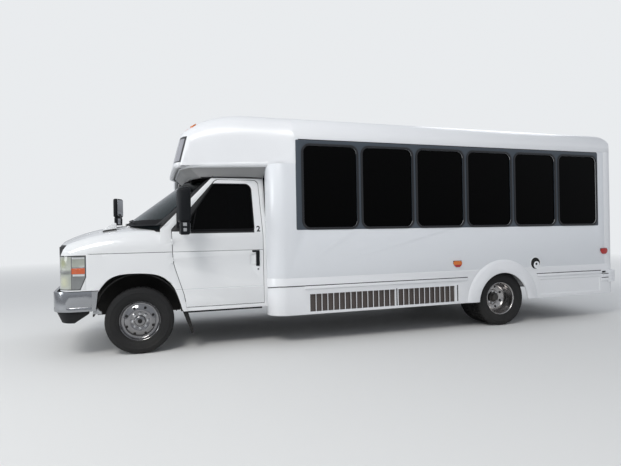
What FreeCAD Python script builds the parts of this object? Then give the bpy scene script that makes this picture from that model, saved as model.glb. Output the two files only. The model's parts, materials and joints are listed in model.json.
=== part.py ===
import FreeCAD, Part
import math
import os
from FreeCAD import Vector

# Shuttle minibus: a coach body on a van cab chassis. Lengths are in millimetres.
# Pieces are drawn with X forward from the front axle, Y to the left, Z up from the ground.
# Each piece is moved as it is saved, so that the origin is below the middle of the whole vehicle.

# Layout along the vehicle
WHEELBASE = 4724
FRONT_OVERHANG = 950
REAR_OVERHANG = 2086
FRONT_AXLE = (WHEELBASE + REAR_OVERHANG - FRONT_OVERHANG) / 2
REAR_AXLE = -WHEELBASE

# Wheels
TYRE_RADIUS = 372
TYRE_WIDTH = 223
TYRE_SHOULDER = 34
RIM_RADIUS = 222
RIM_WIDTH = 172
FRONT_CENTRE = 881
DUAL_CENTRE = 1072
DUAL_SPACING = 246
FRONT_FACE_OUT = 78
HUB_RADIUS = 62
SPINDLE_RADIUS = 30
KINGPIN_Y = 742
KINGPIN_RADIUS = 34

# Clearances
SEAT = 0.3
SHUT_LINE = 7

# Coach body
BODY_HALF = 1219
WALL = 45
SKIRT_WALL = 24
REAR_FACE = -6770
REAR_CORNER = 150
CAB_BACK = -1454
CAB_CORNER = 200
POD_FRONT = -480
POD_CORNER = 60
FLOOR_UNDER = 790
BEAM_WIDTH = 40
FLOOR_TOP = 830
ROOF_SEAM = 2455
ROOF_TOP = 2870
ROOF_CROWN = 3610
ROOF_CORNER = 315
ROOF_TAIL = 280
REAR_LEAN = 60
REAR_SEAM = -6560
SKIRT_BOTTOM = 350
BELT_HEIGHT = 691
LEDGE_DEPTH = 34
LEDGE_OUT = 14

# Coach windows
WINDOW_COUNT = 6
WINDOW_PITCH = 770
WINDOW_START = -1872
WINDOW_LENGTH = 690
WINDOW_LOW = 1388
WINDOW_HIGH = 2372
WINDOW_CORNER = 82
GLASS = 8
FRAME_FACE = 26
FRAME_PROUD = 7

# Rear wheel arch
ARCH_RADIUS = 400
ARCH_HEIGHT = 330
ARCH_BACKING = 436
FLARE_RADIUS = 586
FLARE_OUT = 24

# Skirt grilles: start, end
GRILLES = [(-1930, -3066), (-3112, -3950)]
GRILLE_LOW = 380
GRILLE_HIGH = 590
GRILLE_PITCH = 75
GRILLE_BAR = 13

# Front cap
CAP_BOTTOM = 2150
CAP_SEAM = -1777
CAP_NOSE = -400
CAP_LEAN = 0.247
CAP_WALL = 40
CAP_CORNER = 280
POD_SHOULDER = 2540
SIGN_LOW = 2186
SIGN_HIGH = 2500
SIGN_BACK = -560
SIGN_DEPTH = 16

# Cap sections: distance behind the front axle, half width, top, corner radius
CAP_TABLE = [
    (1777, 1219, 2870, 315),
    (1400, 1075, 2870, 315),
    (1000, 962, 2846, 300),
    (700, 888, 2748, 250),
    (380, 812, 2470, 150),
]

# Cab
CAB_HALF = 1007
CAB_WALL = 45
CAB_ROOF_HALF = 868
CAB_BELT = 1345
CAB_ROOF = 2010
SILL_LOW = 451
SILL_HIGH = 492
CAB_FLOOR = 660
PLATE = 30
CLIP_WALL = 25
HOOD_HALF = 598
DOOR_REAR = -1420
DOOR_TOP = 1985
DOOR_SKIN = 14
DOOR_STEP = 9

# Nose sections: distance ahead of the front axle, middle height, shoulder height, shoulder half width,
# side half width, top of the side
CLIP_TABLE = [
    (860, 1278, 1196, 770, 1000, 1060),
    (500, 1408, 1326, 850, 1006, 1120),
    (200, 1452, 1368, 880, 1007, 1140),
    (-520, 1486, 1398, 915, 1007, 1150),
]

# Windshield sections: height, middle X, edge X, half width
GLASS_FOOT = (1440, 206, -242, 945)
GLASS_HEAD = (2045, -604, -868, 766)
GLASS_THICKNESS = 14
GLASS_LOW = 1455
GLASS_HIGH = 2030

# Headlamps and grille
HEADLAMP_LOW = 750
HEADLAMP_HIGH = 1124
HEADLAMP_BACK = 540
HEADLAMP_INNER = 642
GRILLE_TOP = 1222
GRILLE_BAR_COUNT = 3
GRILLE_SLAT_COUNT = 19

# Bumpers
BUMPER_HALF = 1002
BUMPER_SIDE_X = 880
BUMPER_CORNER = 230
BUMPER_BOW = 1500
PLATE_SPACING = 178
PLATE_HOLE = 3.5

# Lamps
LAMP_RISE = 16
ROOF_LAMP_X = -590
ROOF_LAMP_SPAN = 700
ROOF_LAMP_STEP = 230
ROOF_LAMP_RADIUS = 34

# Frame and running gear
RAIL_HALF = 432
RAIL_HEIGHT = 170
RAIL_FLANGE = 66
RAIL_WEB = 9
RAIL_FRONT = 640
RAIL_REAR = -6600
CROSS_COUNT = 10
CROSS_WIDTH = 90
CROSS_END = 60
JACK_X = -3200
JACK_HALF = 50
JACK_DROP = 10

# Hinges: barrel radius, barrel length, reach of each leaf
BODY_HINGE = (9, 90, 30)
CAB_HINGE = (7, 60, 20)
HINGE_PIN = 4
HINGE_GAP = 1
HINGE_CLEAR = 6
ENTRY_HINGE_HEIGHTS = (650, 1250, 1850)
REAR_HINGE_HEIGHTS = (1000, 1500, 2000)
CAB_HINGE_HEIGHTS = (1040, 1250)
CAB_HINGE_X = -361
HOOD_HINGE_X = 128.5
HOOD_HINGE_Y = 450
HOOD_HINGE_Z = 1443.5

# Entry door and rear door
ENTRY_FRONT = -560
ENTRY_LENGTH = 780
ENTRY_LOW = 392
ENTRY_HIGH = 2130
ENTRY_CENTRE_GAP = 12
LEAF_FRAME = 52
REAR_DOOR_HALF = 400
REAR_DOOR_LOW = 850
REAR_DOOR_HIGH = 2180


# Shared ways of making shapes


def rounded(corners):
    """Points of a closed outline in its own plane, as straight starts and arc ends at each corner."""
    marks = []
    for index, corner in enumerate(corners):
        here = Vector(corner[0], corner[1], 0)
        before = Vector(*corners[index - 1][:2], 0) - here
        after = Vector(*corners[(index + 1) % len(corners)][:2], 0) - here
        radius = corner[2] if len(corner) > 2 else 0
        if radius <= 0:
            marks.append([here])
            continue
        half = before.getAngle(after) / 2
        before.normalize()
        after.normalize()
        reach = radius / math.tan(half)
        inward = before + after
        inward.normalize()
        middle = here + inward * (radius / math.sin(half) - radius)
        marks.append([here + before * reach, middle, here + after * reach])
    return marks


def outline(corners, place):
    """Closed wire through corners (u, v, radius), where place turns (u, v) into a point."""
    edges = []
    marks = rounded(corners)
    for index, mark in enumerate(marks):
        following = marks[(index + 1) % len(marks)]
        if len(mark) == 3:
            points = [place(point.x, point.y) for point in mark]
            edges.append(Part.Arc(*points).toShape())
        start = place(mark[-1].x, mark[-1].y)
        end = place(following[0].x, following[0].y)
        if start.distanceToPoint(end) > 0.001:
            edges.append(Part.LineSegment(start, end).toShape())
    return Part.Wire(edges)


def prism(axis, corners, low, high):
    """Solid with an outline of (u, v, radius) corners, from low to high along an axis."""
    low, high = min(low, high), max(low, high)
    places = {
        "X": lambda u, v: Vector(low, u, v),
        "Y": lambda u, v: Vector(u, low, v),
        "Z": lambda u, v: Vector(u, v, low),
    }
    directions = {"X": Vector(1, 0, 0), "Y": Vector(0, 1, 0), "Z": Vector(0, 0, 1)}
    face = Part.Face(outline(corners, places[axis]))
    return face.extrude(directions[axis] * (high - low))


def block(x1, x2, y1, y2, z1, z2):
    """Box between two corners."""
    return Part.makeBox(abs(x2 - x1), abs(y2 - y1), abs(z2 - z1), Vector(min(x1, x2), min(y1, y2), min(z1,
            z2)))


def rod(start, end, radius):
    """Round bar between two points."""
    direction = end - start
    return Part.makeCylinder(radius, direction.Length, start, direction)


def rectangle(u1, u2, v1, v2, radius=0):
    """Corners of a rectangle with round corners."""
    return [(u1, v1, radius), (u2, v1, radius), (u2, v2, radius), (u1, v2, radius)]


def mirrored(shape):
    """The same piece on the other side."""
    return shape.mirror(Vector(0, 0, 0), Vector(0, 1, 0))


def fused(shapes):
    """One solid of several that touch."""
    return shapes[0].multiFuse(shapes[1:]).removeSplitter()


def turned(points, centre, direction):
    """Solid of revolution about the Y direction; points are (radius, along)."""
    corners = [Vector(centre.x + radius, centre.y + direction * along, centre.z) for radius, along in points]
    wire = Part.makePolygon(corners + corners[:1])
    return Part.Face(wire).revolve(centre, Vector(0, 1, 0), 360)


def keep(name, shape):
    """Moves a finished piece into the vehicle's frame and saves it."""
    moved = shape.copy()
    moved.translate(Vector(FRONT_AXLE, 0, 0))
    if not moved.isValid():
        print("not valid:", name)
    moved.exportStep("parts/" + name + ".step")


def hinge(middle, fixed_way, outward, size, drop):
    """Two halves of an exposed hinge: the one on the body with its pin, and the one that swings."""
    radius, length, reach = size
    axis = fixed_way.cross(outward)
    foot = middle - axis * (length / 2)
    third = length / 3

    def barrel(low, high):
        return Part.makeCylinder(radius, high - low, foot + axis * low, axis)

    def leaf(low, high, way):
        base = foot + axis * low
        far = way * reach
        corners = [base, base + far, base + far - outward * drop, base - outward * drop, base]
        return Part.Face(Part.makePolygon(corners)).extrude(axis * (high - low))

    back = fixed_way * -1
    pin = Part.makeCylinder(HINGE_PIN, length, foot, axis)
    lower, upper = (0, third - SEAT), (2 * third + SEAT, length)
    fixed = fused([pin, barrel(*lower), leaf(*lower, fixed_way), barrel(*upper), leaf(*upper, fixed_way)])
    swung = barrel(third, 2 * third).fuse(leaf(third, 2 * third, back))
    bore = Part.makeCylinder(HINGE_PIN + SEAT / 2, length, foot, axis)
    return fixed, swung.cut(bore)


def cab_hinge_pockets():
    """Room in the cab's side for the swung leaves of the door's hinges."""
    half = CAB_HINGE[1] / 6 + HINGE_CLEAR
    return [block(CAB_HINGE_X - HINGE_CLEAR, CAB_HINGE_X + HINGE_CLEAR, CAB_HALF - CAB_WALL,
                  CAB_HALF + HINGE_CLEAR,
                  height - half, height + half) for height in CAB_HINGE_HEIGHTS]


def hood_hinge_room(half, reach):
    """Room round the hood's two hinges, to half of their length and back by a reach."""
    return [block(HOOD_HINGE_X - reach, HOOD_HINGE_X + 8 * HINGE_CLEAR, side * HOOD_HINGE_Y - half,
                  side * HOOD_HINGE_Y + half, HOOD_HINGE_Z - 8 * HINGE_CLEAR, HOOD_HINGE_Z + 3 * HINGE_CLEAR)
            for side in (1, -1)]


# Coach body


def roof_outline(x, half, top, corner, bottom):
    """Cross section at one station: floor line, upright sides, round corners and a crowned roof."""
    centre_y = half - corner
    span = ROOF_CROWN - corner
    centre_z = top - ROOF_CROWN + math.sqrt(span * span - centre_y * centre_y)
    lean = math.asin(centre_y / span)
    edge_y = ROOF_CROWN * math.sin(lean)
    edge_z = top - ROOF_CROWN + ROOF_CROWN * math.cos(lean)
    turn = (math.pi / 2 + lean) / 2
    mid_y = centre_y + corner * math.sin(turn)
    mid_z = centre_z + corner * math.cos(turn)

    def at(y, z):
        return Vector(x, y, z)

    edges = [
        Part.LineSegment(at(half, bottom), at(half, centre_z)),
        Part.Arc(at(half, centre_z), at(mid_y, mid_z), at(edge_y, edge_z)),
        Part.Arc(at(edge_y, edge_z), at(0, top), at(-edge_y, edge_z)),
        Part.Arc(at(-edge_y, edge_z), at(-mid_y, mid_z), at(-half, centre_z)),
        Part.LineSegment(at(-half, centre_z), at(-half, bottom)),
        Part.LineSegment(at(-half, bottom), at(half, bottom)),
    ]
    return Part.Wire([edge.toShape() for edge in edges])


def coach_form(inset, low, high):
    """Solid of the coach's outer form, or of its inside when inset by a wall."""
    side = BODY_HALF - inset
    inner = CAB_HALF - CAB_WALL
    rear = REAR_FACE + inset
    open_x = 0 if inset == 0 else inset + 5
    open_y = 0 if inset == 0 else 5
    plan = prism("Z", [
        (rear, side, REAR_CORNER - inset),
        (CAB_BACK - inset, side, CAB_CORNER - inset),
        (CAB_BACK - inset, inner),
        (CAB_BACK - inset + open_x, inner),
        (CAB_BACK - inset + open_x, -inner + open_y),
        (POD_FRONT - inset, -inner + open_y),
        (POD_FRONT - inset, -side, POD_CORNER - inset),
        (rear, -side, REAR_CORNER - inset),
    ] if inset else [
        (rear, side, REAR_CORNER),
        (CAB_BACK, side, CAB_CORNER),
        (CAB_BACK, -inner),
        (POD_FRONT, -inner),
        (POD_FRONT, -side, POD_CORNER),
        (rear, -side, REAR_CORNER),
    ], low, high)
    section = Part.Face(roof_outline(REAR_FACE - 10, side, ROOF_TOP - inset, ROOF_CORNER - inset, 0))
    section = section.extrude(Vector(POD_FRONT - REAR_FACE + 20, 0, 0))
    tail = prism("Y", [
        (rear, 0),
        (rear, WINDOW_LOW),
        (rear + REAR_LEAN, ROOF_TOP - inset, ROOF_TAIL - inset),
        (POD_FRONT + 10, ROOF_TOP - inset),
        (POD_FRONT + 10, 0),
    ], -2 * BODY_HALF, 2 * BODY_HALF)
    if high > ROOF_SEAM + WALL:
        plan = plan.common(section)
    return plan.common(tail)


def coach_shell(wall, low, high):
    """Walls of the coach between two heights."""
    return coach_form(0, low, high).cut(coach_form(wall, low - 5, high + 5))


def window_stations():
    """Front and rear edge of each side window."""
    starts = [WINDOW_START - index * WINDOW_PITCH for index in range(WINDOW_COUNT)]
    return [(start, start - WINDOW_LENGTH) for start in starts]


def window_cuts(side):
    """Prisms of one side's window openings."""
    cuts = []
    for front, back in window_stations():
        if side < 0 and front > ENTRY_FRONT - ENTRY_LENGTH - WALL:
            continue
        corners = rectangle(back, front, WINDOW_LOW, WINDOW_HIGH, WINDOW_CORNER)
        cuts.append(prism("Y", corners, side * (BODY_HALF - 2 * WALL), side * (BODY_HALF + WALL)))
    return cuts


def entry_opening(gap):
    """Prism of the entry doorway in the right-hand wall."""
    corners = rectangle(ENTRY_FRONT - ENTRY_LENGTH - gap, ENTRY_FRONT + gap, ENTRY_LOW - gap,
                        ENTRY_HIGH + gap)
    return prism("Y", corners, -BODY_HALF - WALL, -BODY_HALF + 2 * WALL)


def rear_opening(gap):
    """Prism of the rear doorway."""
    corners = rectangle(-REAR_DOOR_HALF - gap, REAR_DOOR_HALF + gap, REAR_DOOR_LOW - gap,
                        REAR_DOOR_HIGH + gap)
    return prism("X", corners, REAR_FACE - WALL, REAR_SEAM)


def side_walls():
    """Side walls with their windows, the doorway and the front corner."""
    shell = coach_shell(WALL, FLOOR_UNDER, ROOF_SEAM)
    behind_seam = block(REAR_SEAM, CAP_SEAM, -2 * BODY_HALF, 2 * BODY_HALF, FLOOR_UNDER, ROOF_SEAM)
    under_cap = block(CAP_SEAM, 0, -2 * BODY_HALF, 2 * BODY_HALF, FLOOR_UNDER, CAP_BOTTOM)
    walls = shell.common(fused([behind_seam, under_cap]))
    left = walls.common(block(REAR_SEAM, 0, 0, 2 * BODY_HALF, 0, ROOF_TOP)).cut(window_cuts(1))
    right = walls.common(block(REAR_SEAM, 0, -2 * BODY_HALF, 0, 0, ROOF_TOP)).cut(window_cuts(-1))
    right = right.cut(entry_opening(SHUT_LINE))
    foot = CAB_BELT + (CAB_WALL - 8) / (CAB_HALF - 8 - CAB_ROOF_HALF) * (CAB_ROOF - CAB_BELT)
    inner = -(CAB_HALF - CAB_WALL)
    wedge = prism("X", [(inner, foot + 2), (inner, CAP_BOTTOM), (-CAB_ROOF_HALF - SEAT, CAP_BOTTOM),
                        (-CAB_ROOF_HALF - SEAT, CAB_ROOF)], POD_FRONT - WALL, POD_FRONT)
    right = right.fuse(wedge)
    keep("side_wall_left", left.removeSplitter())
    keep("side_wall_right", right.removeSplitter())


def window_glass(side):
    """Panes of one side, each behind its frame."""
    panes = []
    for front, back in window_stations():
        corners = rectangle(back + SEAT, front - SEAT, WINDOW_LOW + SEAT, WINDOW_HIGH - SEAT,
                            WINDOW_CORNER - SEAT)
        outer = side * (BODY_HALF - 10)
        panes.append(prism("Y", corners, outer, outer - side * GLASS))
    return Part.Compound(panes)


def window_frames(side):
    """Raised frames round one side's windows, seated on the wall."""
    rings = []
    for front, back in window_stations():
        outer = rectangle(back - FRAME_FACE, front + FRAME_FACE, WINDOW_LOW - FRAME_FACE,
                          WINDOW_HIGH + FRAME_FACE, WINDOW_CORNER + FRAME_FACE)
        inner = rectangle(back + 2, front - 2, WINDOW_LOW + 2, WINDOW_HIGH - 2, WINDOW_CORNER - 2)
        base = side * BODY_HALF
        ring = prism("Y", outer, base, base + side * FRAME_PROUD)
        rings.append(ring.cut(prism("Y", inner, base - side, base + side * 2 * FRAME_PROUD)))
    return Part.Compound(rings)


def rear_wall():
    """Rear wall with its round corners, cut for the rear door."""
    shell = coach_shell(WALL, FLOOR_UNDER, ROOF_SEAM)
    wall = shell.common(block(REAR_FACE - 5, REAR_SEAM, -2 * BODY_HALF, 2 * BODY_HALF, FLOOR_UNDER,
                              ROOF_SEAM))
    keep("rear_wall", wall.cut(rear_opening(SHUT_LINE)))


def roof():
    """Crowned roof from the cap's seam to the rounded tail."""
    shell = coach_shell(WALL, ROOF_SEAM, ROOF_TOP + 10)
    keep("roof", shell.common(block(REAR_FACE - 5, CAP_SEAM, -2 * BODY_HALF, 2 * BODY_HALF, ROOF_SEAM,
                                    2 * ROOF_TOP)))


def arch_cut(radius, side):
    """Round of the rear wheel arch through the skirt."""
    centre = Vector(REAR_AXLE, side * (BODY_HALF - 4 * WALL), ARCH_HEIGHT)
    return Part.makeCylinder(radius, 6 * WALL, centre, Vector(0, side, 0))


def skirt(side):
    """Skirt below the floor with its ledge, arch and barred grilles."""
    shell = coach_shell(SKIRT_WALL, SKIRT_BOTTOM, FLOOR_UNDER)
    panel = shell.common(block(REAR_FACE - 5, 0, 0, side * 2 * BODY_HALF, SKIRT_BOTTOM, FLOOR_UNDER))
    panel = panel.cut(block(REAR_FACE - 5, REAR_SEAM, 0, side * (BODY_HALF - 3 * WALL), 0, ROOF_TOP))
    panel = panel.cut(arch_cut(ARCH_BACKING, side))
    panel = panel.cut(block(REAR_AXLE - ARCH_BACKING, REAR_AXLE + ARCH_BACKING,
                            side * (BODY_HALF - 3 * WALL),
                            side * (BODY_HALF + WALL), 0, ARCH_HEIGHT))
    base = side * (BODY_HALF - 2)
    parts = [panel]
    ledges = [(GRILLES[0][0] + 60, REAR_AXLE + FLARE_RADIUS), (REAR_AXLE - FLARE_RADIUS, REAR_SEAM)]
    for front, back in ledges:
        top = BELT_HEIGHT
        if side < 0 and front > REAR_AXLE + FLARE_RADIUS:
            front = min(front, ENTRY_FRONT - ENTRY_LENGTH - 2 * WALL)
        section = [(base, top), (side * (BODY_HALF + LEDGE_OUT), top - 6), (side * (BODY_HALF + LEDGE_OUT),
                top - LEDGE_DEPTH),
                   (base, top - LEDGE_DEPTH - 10)]
        parts.append(prism("X", section, back, front))
    for front, back in GRILLES:
        hole = block(back, front, side * (BODY_HALF - 3 * WALL), side * (BODY_HALF + WALL), GRILLE_LOW,
                     GRILLE_HIGH)
        parts[0] = parts[0].cut(hole)
        middle = side * (BODY_HALF - SKIRT_WALL / 2)
        count = int((front - back) / GRILLE_PITCH)
        pitch = (front - back) / count
        for index in range(1, count):
            x = front - index * pitch
            parts.append(block(x - GRILLE_BAR / 2, x + GRILLE_BAR / 2, middle - 6, middle + 6,
                               GRILLE_LOW - 1, GRILLE_HIGH + 1))
    whole = fused(parts)
    if side < 0:
        whole = whole.cut(entry_opening(SHUT_LINE))
    return whole.cut(arch_cut(ARCH_BACKING, side))


def arch_flare(side):
    """Raised flare round the rear wheel arch."""
    inner_face = side * BODY_HALF
    centre = Vector(REAR_AXLE, inner_face, ARCH_HEIGHT)
    outward = Vector(0, side, 0)
    dome = Part.makeCone(FLARE_RADIUS, FLARE_RADIUS - 2 * FLARE_OUT, FLARE_OUT, centre, outward)
    legs = block(REAR_AXLE - FLARE_RADIUS, REAR_AXLE + FLARE_RADIUS, inner_face,
                 inner_face + side * FLARE_OUT,
                 SKIRT_BOTTOM, ARCH_HEIGHT + 1)
    clear = block(REAR_AXLE - 2 * FLARE_RADIUS, REAR_AXLE + 2 * FLARE_RADIUS, inner_face,
                  inner_face + side * FLARE_OUT, SKIRT_BOTTOM, 2 * ROOF_TOP)
    ring = dome.common(clear)
    if SKIRT_BOTTOM < ARCH_HEIGHT:
        ring = ring.fuse(legs)
    return ring.cut(arch_cut(ARCH_RADIUS, side))


def coach_floor():
    """Floor plate with the entry steps under the doorway."""
    step_depth = 250
    step_front = ENTRY_FRONT
    step_back = ENTRY_FRONT - ENTRY_LENGTH
    plate = coach_form(WALL + SEAT, FLOOR_UNDER, FLOOR_TOP)
    plate = plate.common(block(REAR_FACE, CAB_BACK, -BODY_HALF, BODY_HALF, FLOOR_UNDER, FLOOR_TOP))
    parts = [plate]
    heights = [ENTRY_LOW, (ENTRY_LOW + CAB_FLOOR) / 2 + 20, CAB_FLOOR + PLATE]
    edge = -(BODY_HALF - 2 * WALL)
    for index, height in enumerate(heights[:2]):
        near = edge + index * step_depth
        parts.append(block(step_back, step_front, near, near + step_depth, height - PLATE, height))
        parts.append(block(step_back, step_front, near + step_depth - PLATE, near + step_depth,
                           height - PLATE, heights[index + 1]))
    sides = [(step_front, step_front + PLATE - 10), (step_back - PLATE + 10, step_back)]
    for x1, x2 in sides:
        cheek = block(x1, x2, edge, edge + 2 * step_depth, ENTRY_LOW - PLATE, FLOOR_UNDER)
        parts.append(cheek)
    parts.append(block(step_back - PLATE + 10, CAB_BACK, edge, edge + 2 * step_depth, FLOOR_UNDER - PLATE,
                       FLOOR_UNDER))
    beam_front = CAB_BACK - PLATE - SEAT
    parts.append(block(beam_front - BEAM_WIDTH, beam_front, edge, BODY_HALF - CAB_CORNER,
                       FLOOR_UNDER - PLATE, FLOOR_UNDER))
    keep("coach_floor", fused(parts))


# Front cap



def cap_form(inset, bottom):
    """Solid of the cap above the cab, or of its inside when inset."""
    wires = []
    for distance, half, top, corner in CAP_TABLE:
        wires.append(roof_outline(-distance, half - inset, top - inset, corner - inset, bottom))
    body = Part.makeLoft(wires, True, False)
    height = ROOF_TOP - bottom + 50
    nose_x = CAP_NOSE - inset
    corners = [(CAP_SEAM - 800, BODY_HALF + 400), (nose_x, BODY_HALF - 390, CAP_CORNER), (nose_x,
            -BODY_HALF + 390, CAP_CORNER),
               (CAP_SEAM - 800, -BODY_HALF - 400)]
    start = nose_x - CAP_LEAN * (bottom - CAP_BOTTOM)
    corners = [(start if index in (1, 2) else corner[0],) + tuple(corner[1:]) for index, corner in enumerate(corners)]
    face = Part.Face(outline(corners, lambda u, v: Vector(u, v, bottom)))
    nose = face.extrude(Vector(-CAP_LEAN * height, 0, height))
    return body.common(nose)


def pod_form(inset, bottom):
    """Solid over the entry side, where the coach's full width runs forward."""
    whole = coach_form(inset, bottom, ROOF_TOP + 10)
    front = POD_FRONT - inset
    slope = prism("Y", [
        (CAP_SEAM - 200, bottom), (CAP_SEAM - 200, ROOF_TOP), (CAP_SEAM + 400, ROOF_TOP - inset, 600),
        (front - 90, POD_SHOULDER - inset, 220), (front, bottom),
    ], -BODY_HALF, 0)
    return whole.common(slope).common(block(CAP_SEAM, POD_FRONT, -BODY_HALF, -(CAB_HALF - CAB_WALL) + 1,
                                            bottom, ROOF_TOP))


def cap_underside(inset):
    """Sloping underside of the cap, down to the cab's roof."""
    low = CAB_ROOF
    upper = [
        (CAP_NOSE - 60 - inset, -560), (CAP_NOSE - 60 - inset, 560), (-560 - inset, 820 - inset),
        (CAB_BACK - inset, 1075 - inset), (CAB_BACK - inset, -1075 + inset), (-560 - inset, -820 + inset),
    ]
    lower = [
        (-590 - inset, -560), (-590 - inset, 560), (-700 - inset, 800 - inset),
        (CAB_BACK - inset, CAB_ROOF_HALF + 20 - inset), (CAB_BACK - inset, -CAB_ROOF_HALF - 20 + inset),
        (-700 - inset, -800 + inset),
    ]
    top = Part.makePolygon([Vector(x, y, CAP_BOTTOM + 1) for x, y in upper + upper[:1]])
    bottom = Part.makePolygon([Vector(x, y, low) for x, y in lower + lower[:1]])
    return Part.makeLoft([bottom, top], True, True)


def front_cap():
    """Hollow cap with its overhanging nose, and the sign window set in it."""
    outer = cap_form(0, CAP_BOTTOM)
    inner = cap_form(CAP_WALL, CAP_BOTTOM - 10)
    limit = block(CAP_SEAM, 0, -BODY_HALF, BODY_HALF, CAP_BOTTOM - 300, ROOF_TOP + 20)
    under_outer = cap_underside(0)
    under_inner = cap_underside(CAP_WALL)
    under_inner = under_inner.fuse(block(CAB_BACK - 200, CAB_BACK + 5, -1030, 830, CAB_ROOF - 10,
                                         CAP_BOTTOM + 30))
    pod_outer = pod_form(0, CAP_BOTTOM)
    pod_inner = pod_form(WALL, CAP_BOTTOM - 10)
    shell = outer.fuse(pod_outer)
    void = inner.fuse([pod_inner, under_inner])
    cap = shell.fuse(under_outer).cut(void).common(limit)
    cap = cap.cut(coach_form(0, FLOOR_UNDER, CAP_BOTTOM)).cut(glass_solid(900, 60, SEAT))
    seat = cap_form(0, CAP_BOTTOM).cut(cap_form(SIGN_DEPTH, CAP_BOTTOM))
    window = seat.common(block(SIGN_BACK, 0, -BODY_HALF, BODY_HALF, SIGN_LOW, SIGN_HIGH))
    cap = cap.cut(window)
    keep("front_cap", cap)
    keep("sign_window", window)
    return outer


# Cab


def cab_side(inner, outer, x1, x2):
    """Upright slab of the cab's left side, with its lean above the belt."""
    corners = [
        (CAB_HALF - inner, SILL_LOW), (CAB_HALF - outer, SILL_LOW), (CAB_HALF - outer, 1130),
        (CAB_HALF - outer - 8, CAB_BELT), (CAB_ROOF_HALF - outer, CAB_ROOF), (CAB_ROOF_HALF - inner,
                CAB_ROOF),
        (CAB_HALF - inner - 8, CAB_BELT), (CAB_HALF - inner, 1130),
    ]
    return prism("X", corners, x1, x2)


def door_corners(grow):
    """Outline of the cab door from the side."""
    return [
        (DOOR_REAR - grow, SILL_HIGH - grow), (-505 + grow, SILL_HIGH - grow), (-480 + grow, 640, 90),
        (-364 + grow, 1010, 500), (-351 + grow, 1390 + grow, 30), (-872 + grow, DOOR_TOP + grow, 60),
        (DOOR_REAR + 30 - grow, DOOR_TOP + grow, 60), (DOOR_REAR - grow, 1300),
    ]


def door_glass_corners(shrink):
    """Outline of the door's window."""
    return [
        (-1306 + shrink, 1372 + shrink, 30), (-468 - shrink, 1372 + shrink, 25), (-846 - shrink,
                1926 - shrink, 60),
        (-1290 + shrink, 1926 - shrink, 70),
    ]


def cab_door():
    """Hinged door of the cab with its window frame and glass."""
    skin = cab_side(DOOR_SKIN, 0, CAB_BACK, 0).common(prism("Y", door_corners(-SHUT_LINE), 0, 2 * CAB_HALF))
    inner = cab_side(CAB_WALL, DOOR_SKIN, CAB_BACK, 0)
    inner = inner.common(prism("Y", door_corners(-SHUT_LINE - DOOR_STEP), 0, 2 * CAB_HALF))
    panel = fused([skin, inner])
    hole = prism("Y", door_glass_corners(0), 0, 2 * CAB_HALF)
    panel = panel.cut(hole)
    recess = prism("Y", rectangle(-1345, -1255, 950, 1090, 12), CAB_HALF - 14, CAB_HALF + 5)
    handle = prism("Y", rectangle(-1335, -1305, 958, 1082, 10), CAB_HALF - 20, CAB_HALF - 2)
    parts = [panel.cut(recess), handle]
    fixed_parts = []
    for height in CAB_HINGE_HEIGHTS:
        middle = Vector(CAB_HINGE_X, CAB_HALF + CAB_HINGE[0] + HINGE_GAP, height)
        fixed, swung = hinge(middle, Vector(1, 0, 0), Vector(0, 1, 0), CAB_HINGE, CAB_HINGE[0] + 16)
        fixed_parts.append(fixed.cut([clip_form(0, SILL_LOW), cab_side(CAB_WALL, 0, CAB_BACK, 0)]))
        parts.append(swung)
    keep("cab_door", fused(parts))
    pane = cab_side(24, 16, CAB_BACK, 0).common(prism("Y", door_glass_corners(SEAT), 0, 2 * CAB_HALF))
    keep("cab_door_glass", pane)
    return fixed_parts


def door_mirror():
    """Tall mirror on two arms from the door."""
    outer = 1400
    head = prism("Z", rectangle(-470, -392, 1196, outer, 26), 1330, 1840)
    step = prism("Z", rectangle(-500, -420, 1210, outer - 14, 20), 1330, 1478)
    arms = []
    for height in (1440, 1560):
        arms.append(block(-470, -440, CAB_HALF - 26, 1212, height - 12, height + 12))
    plate = cab_side(-SEAT, -24, -500, -410).common(block(-500, -410, 0, 1200, 1400, 1600))
    keep("door_mirror", fused([head, step, plate] + arms).cut(cab_side(CAB_WALL, -SEAT, CAB_BACK, 0)))


def windshield_outline(z, depth, x_mid, x_edge, half):
    """Crescent section of the curved windshield at one height."""
    def at(y, x):
        return Vector(x, y, z)

    edges = [
        Part.Arc(at(-half, x_edge), at(0, x_mid), at(half, x_edge)).toShape(),
        Part.LineSegment(at(half, x_edge), at(half, x_edge - depth)).toShape(),
        Part.Arc(at(half, x_edge - depth), at(0, x_mid - depth), at(-half, x_edge - depth)).toShape(),
        Part.LineSegment(at(-half, x_edge - depth), at(-half, x_edge)).toShape(),
    ]
    return Part.Wire(edges)




def glass_solid(depth, grow, forward):
    """Windshield solid of one depth, wider by grow and set forward."""
    wires = []
    for z, middle, edge, half in (GLASS_FOOT, GLASS_HEAD):
        wires.append(windshield_outline(z, depth, middle + forward, edge + forward, half + grow))
    return Part.makeLoft(wires, True, True)


def windshield():
    """Curved windshield pane."""
    keep("windshield", glass_solid(GLASS_THICKNESS, 0, 0).common(block(-2000, 400, -1000, 1000, GLASS_LOW,
            GLASS_HIGH)))


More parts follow.
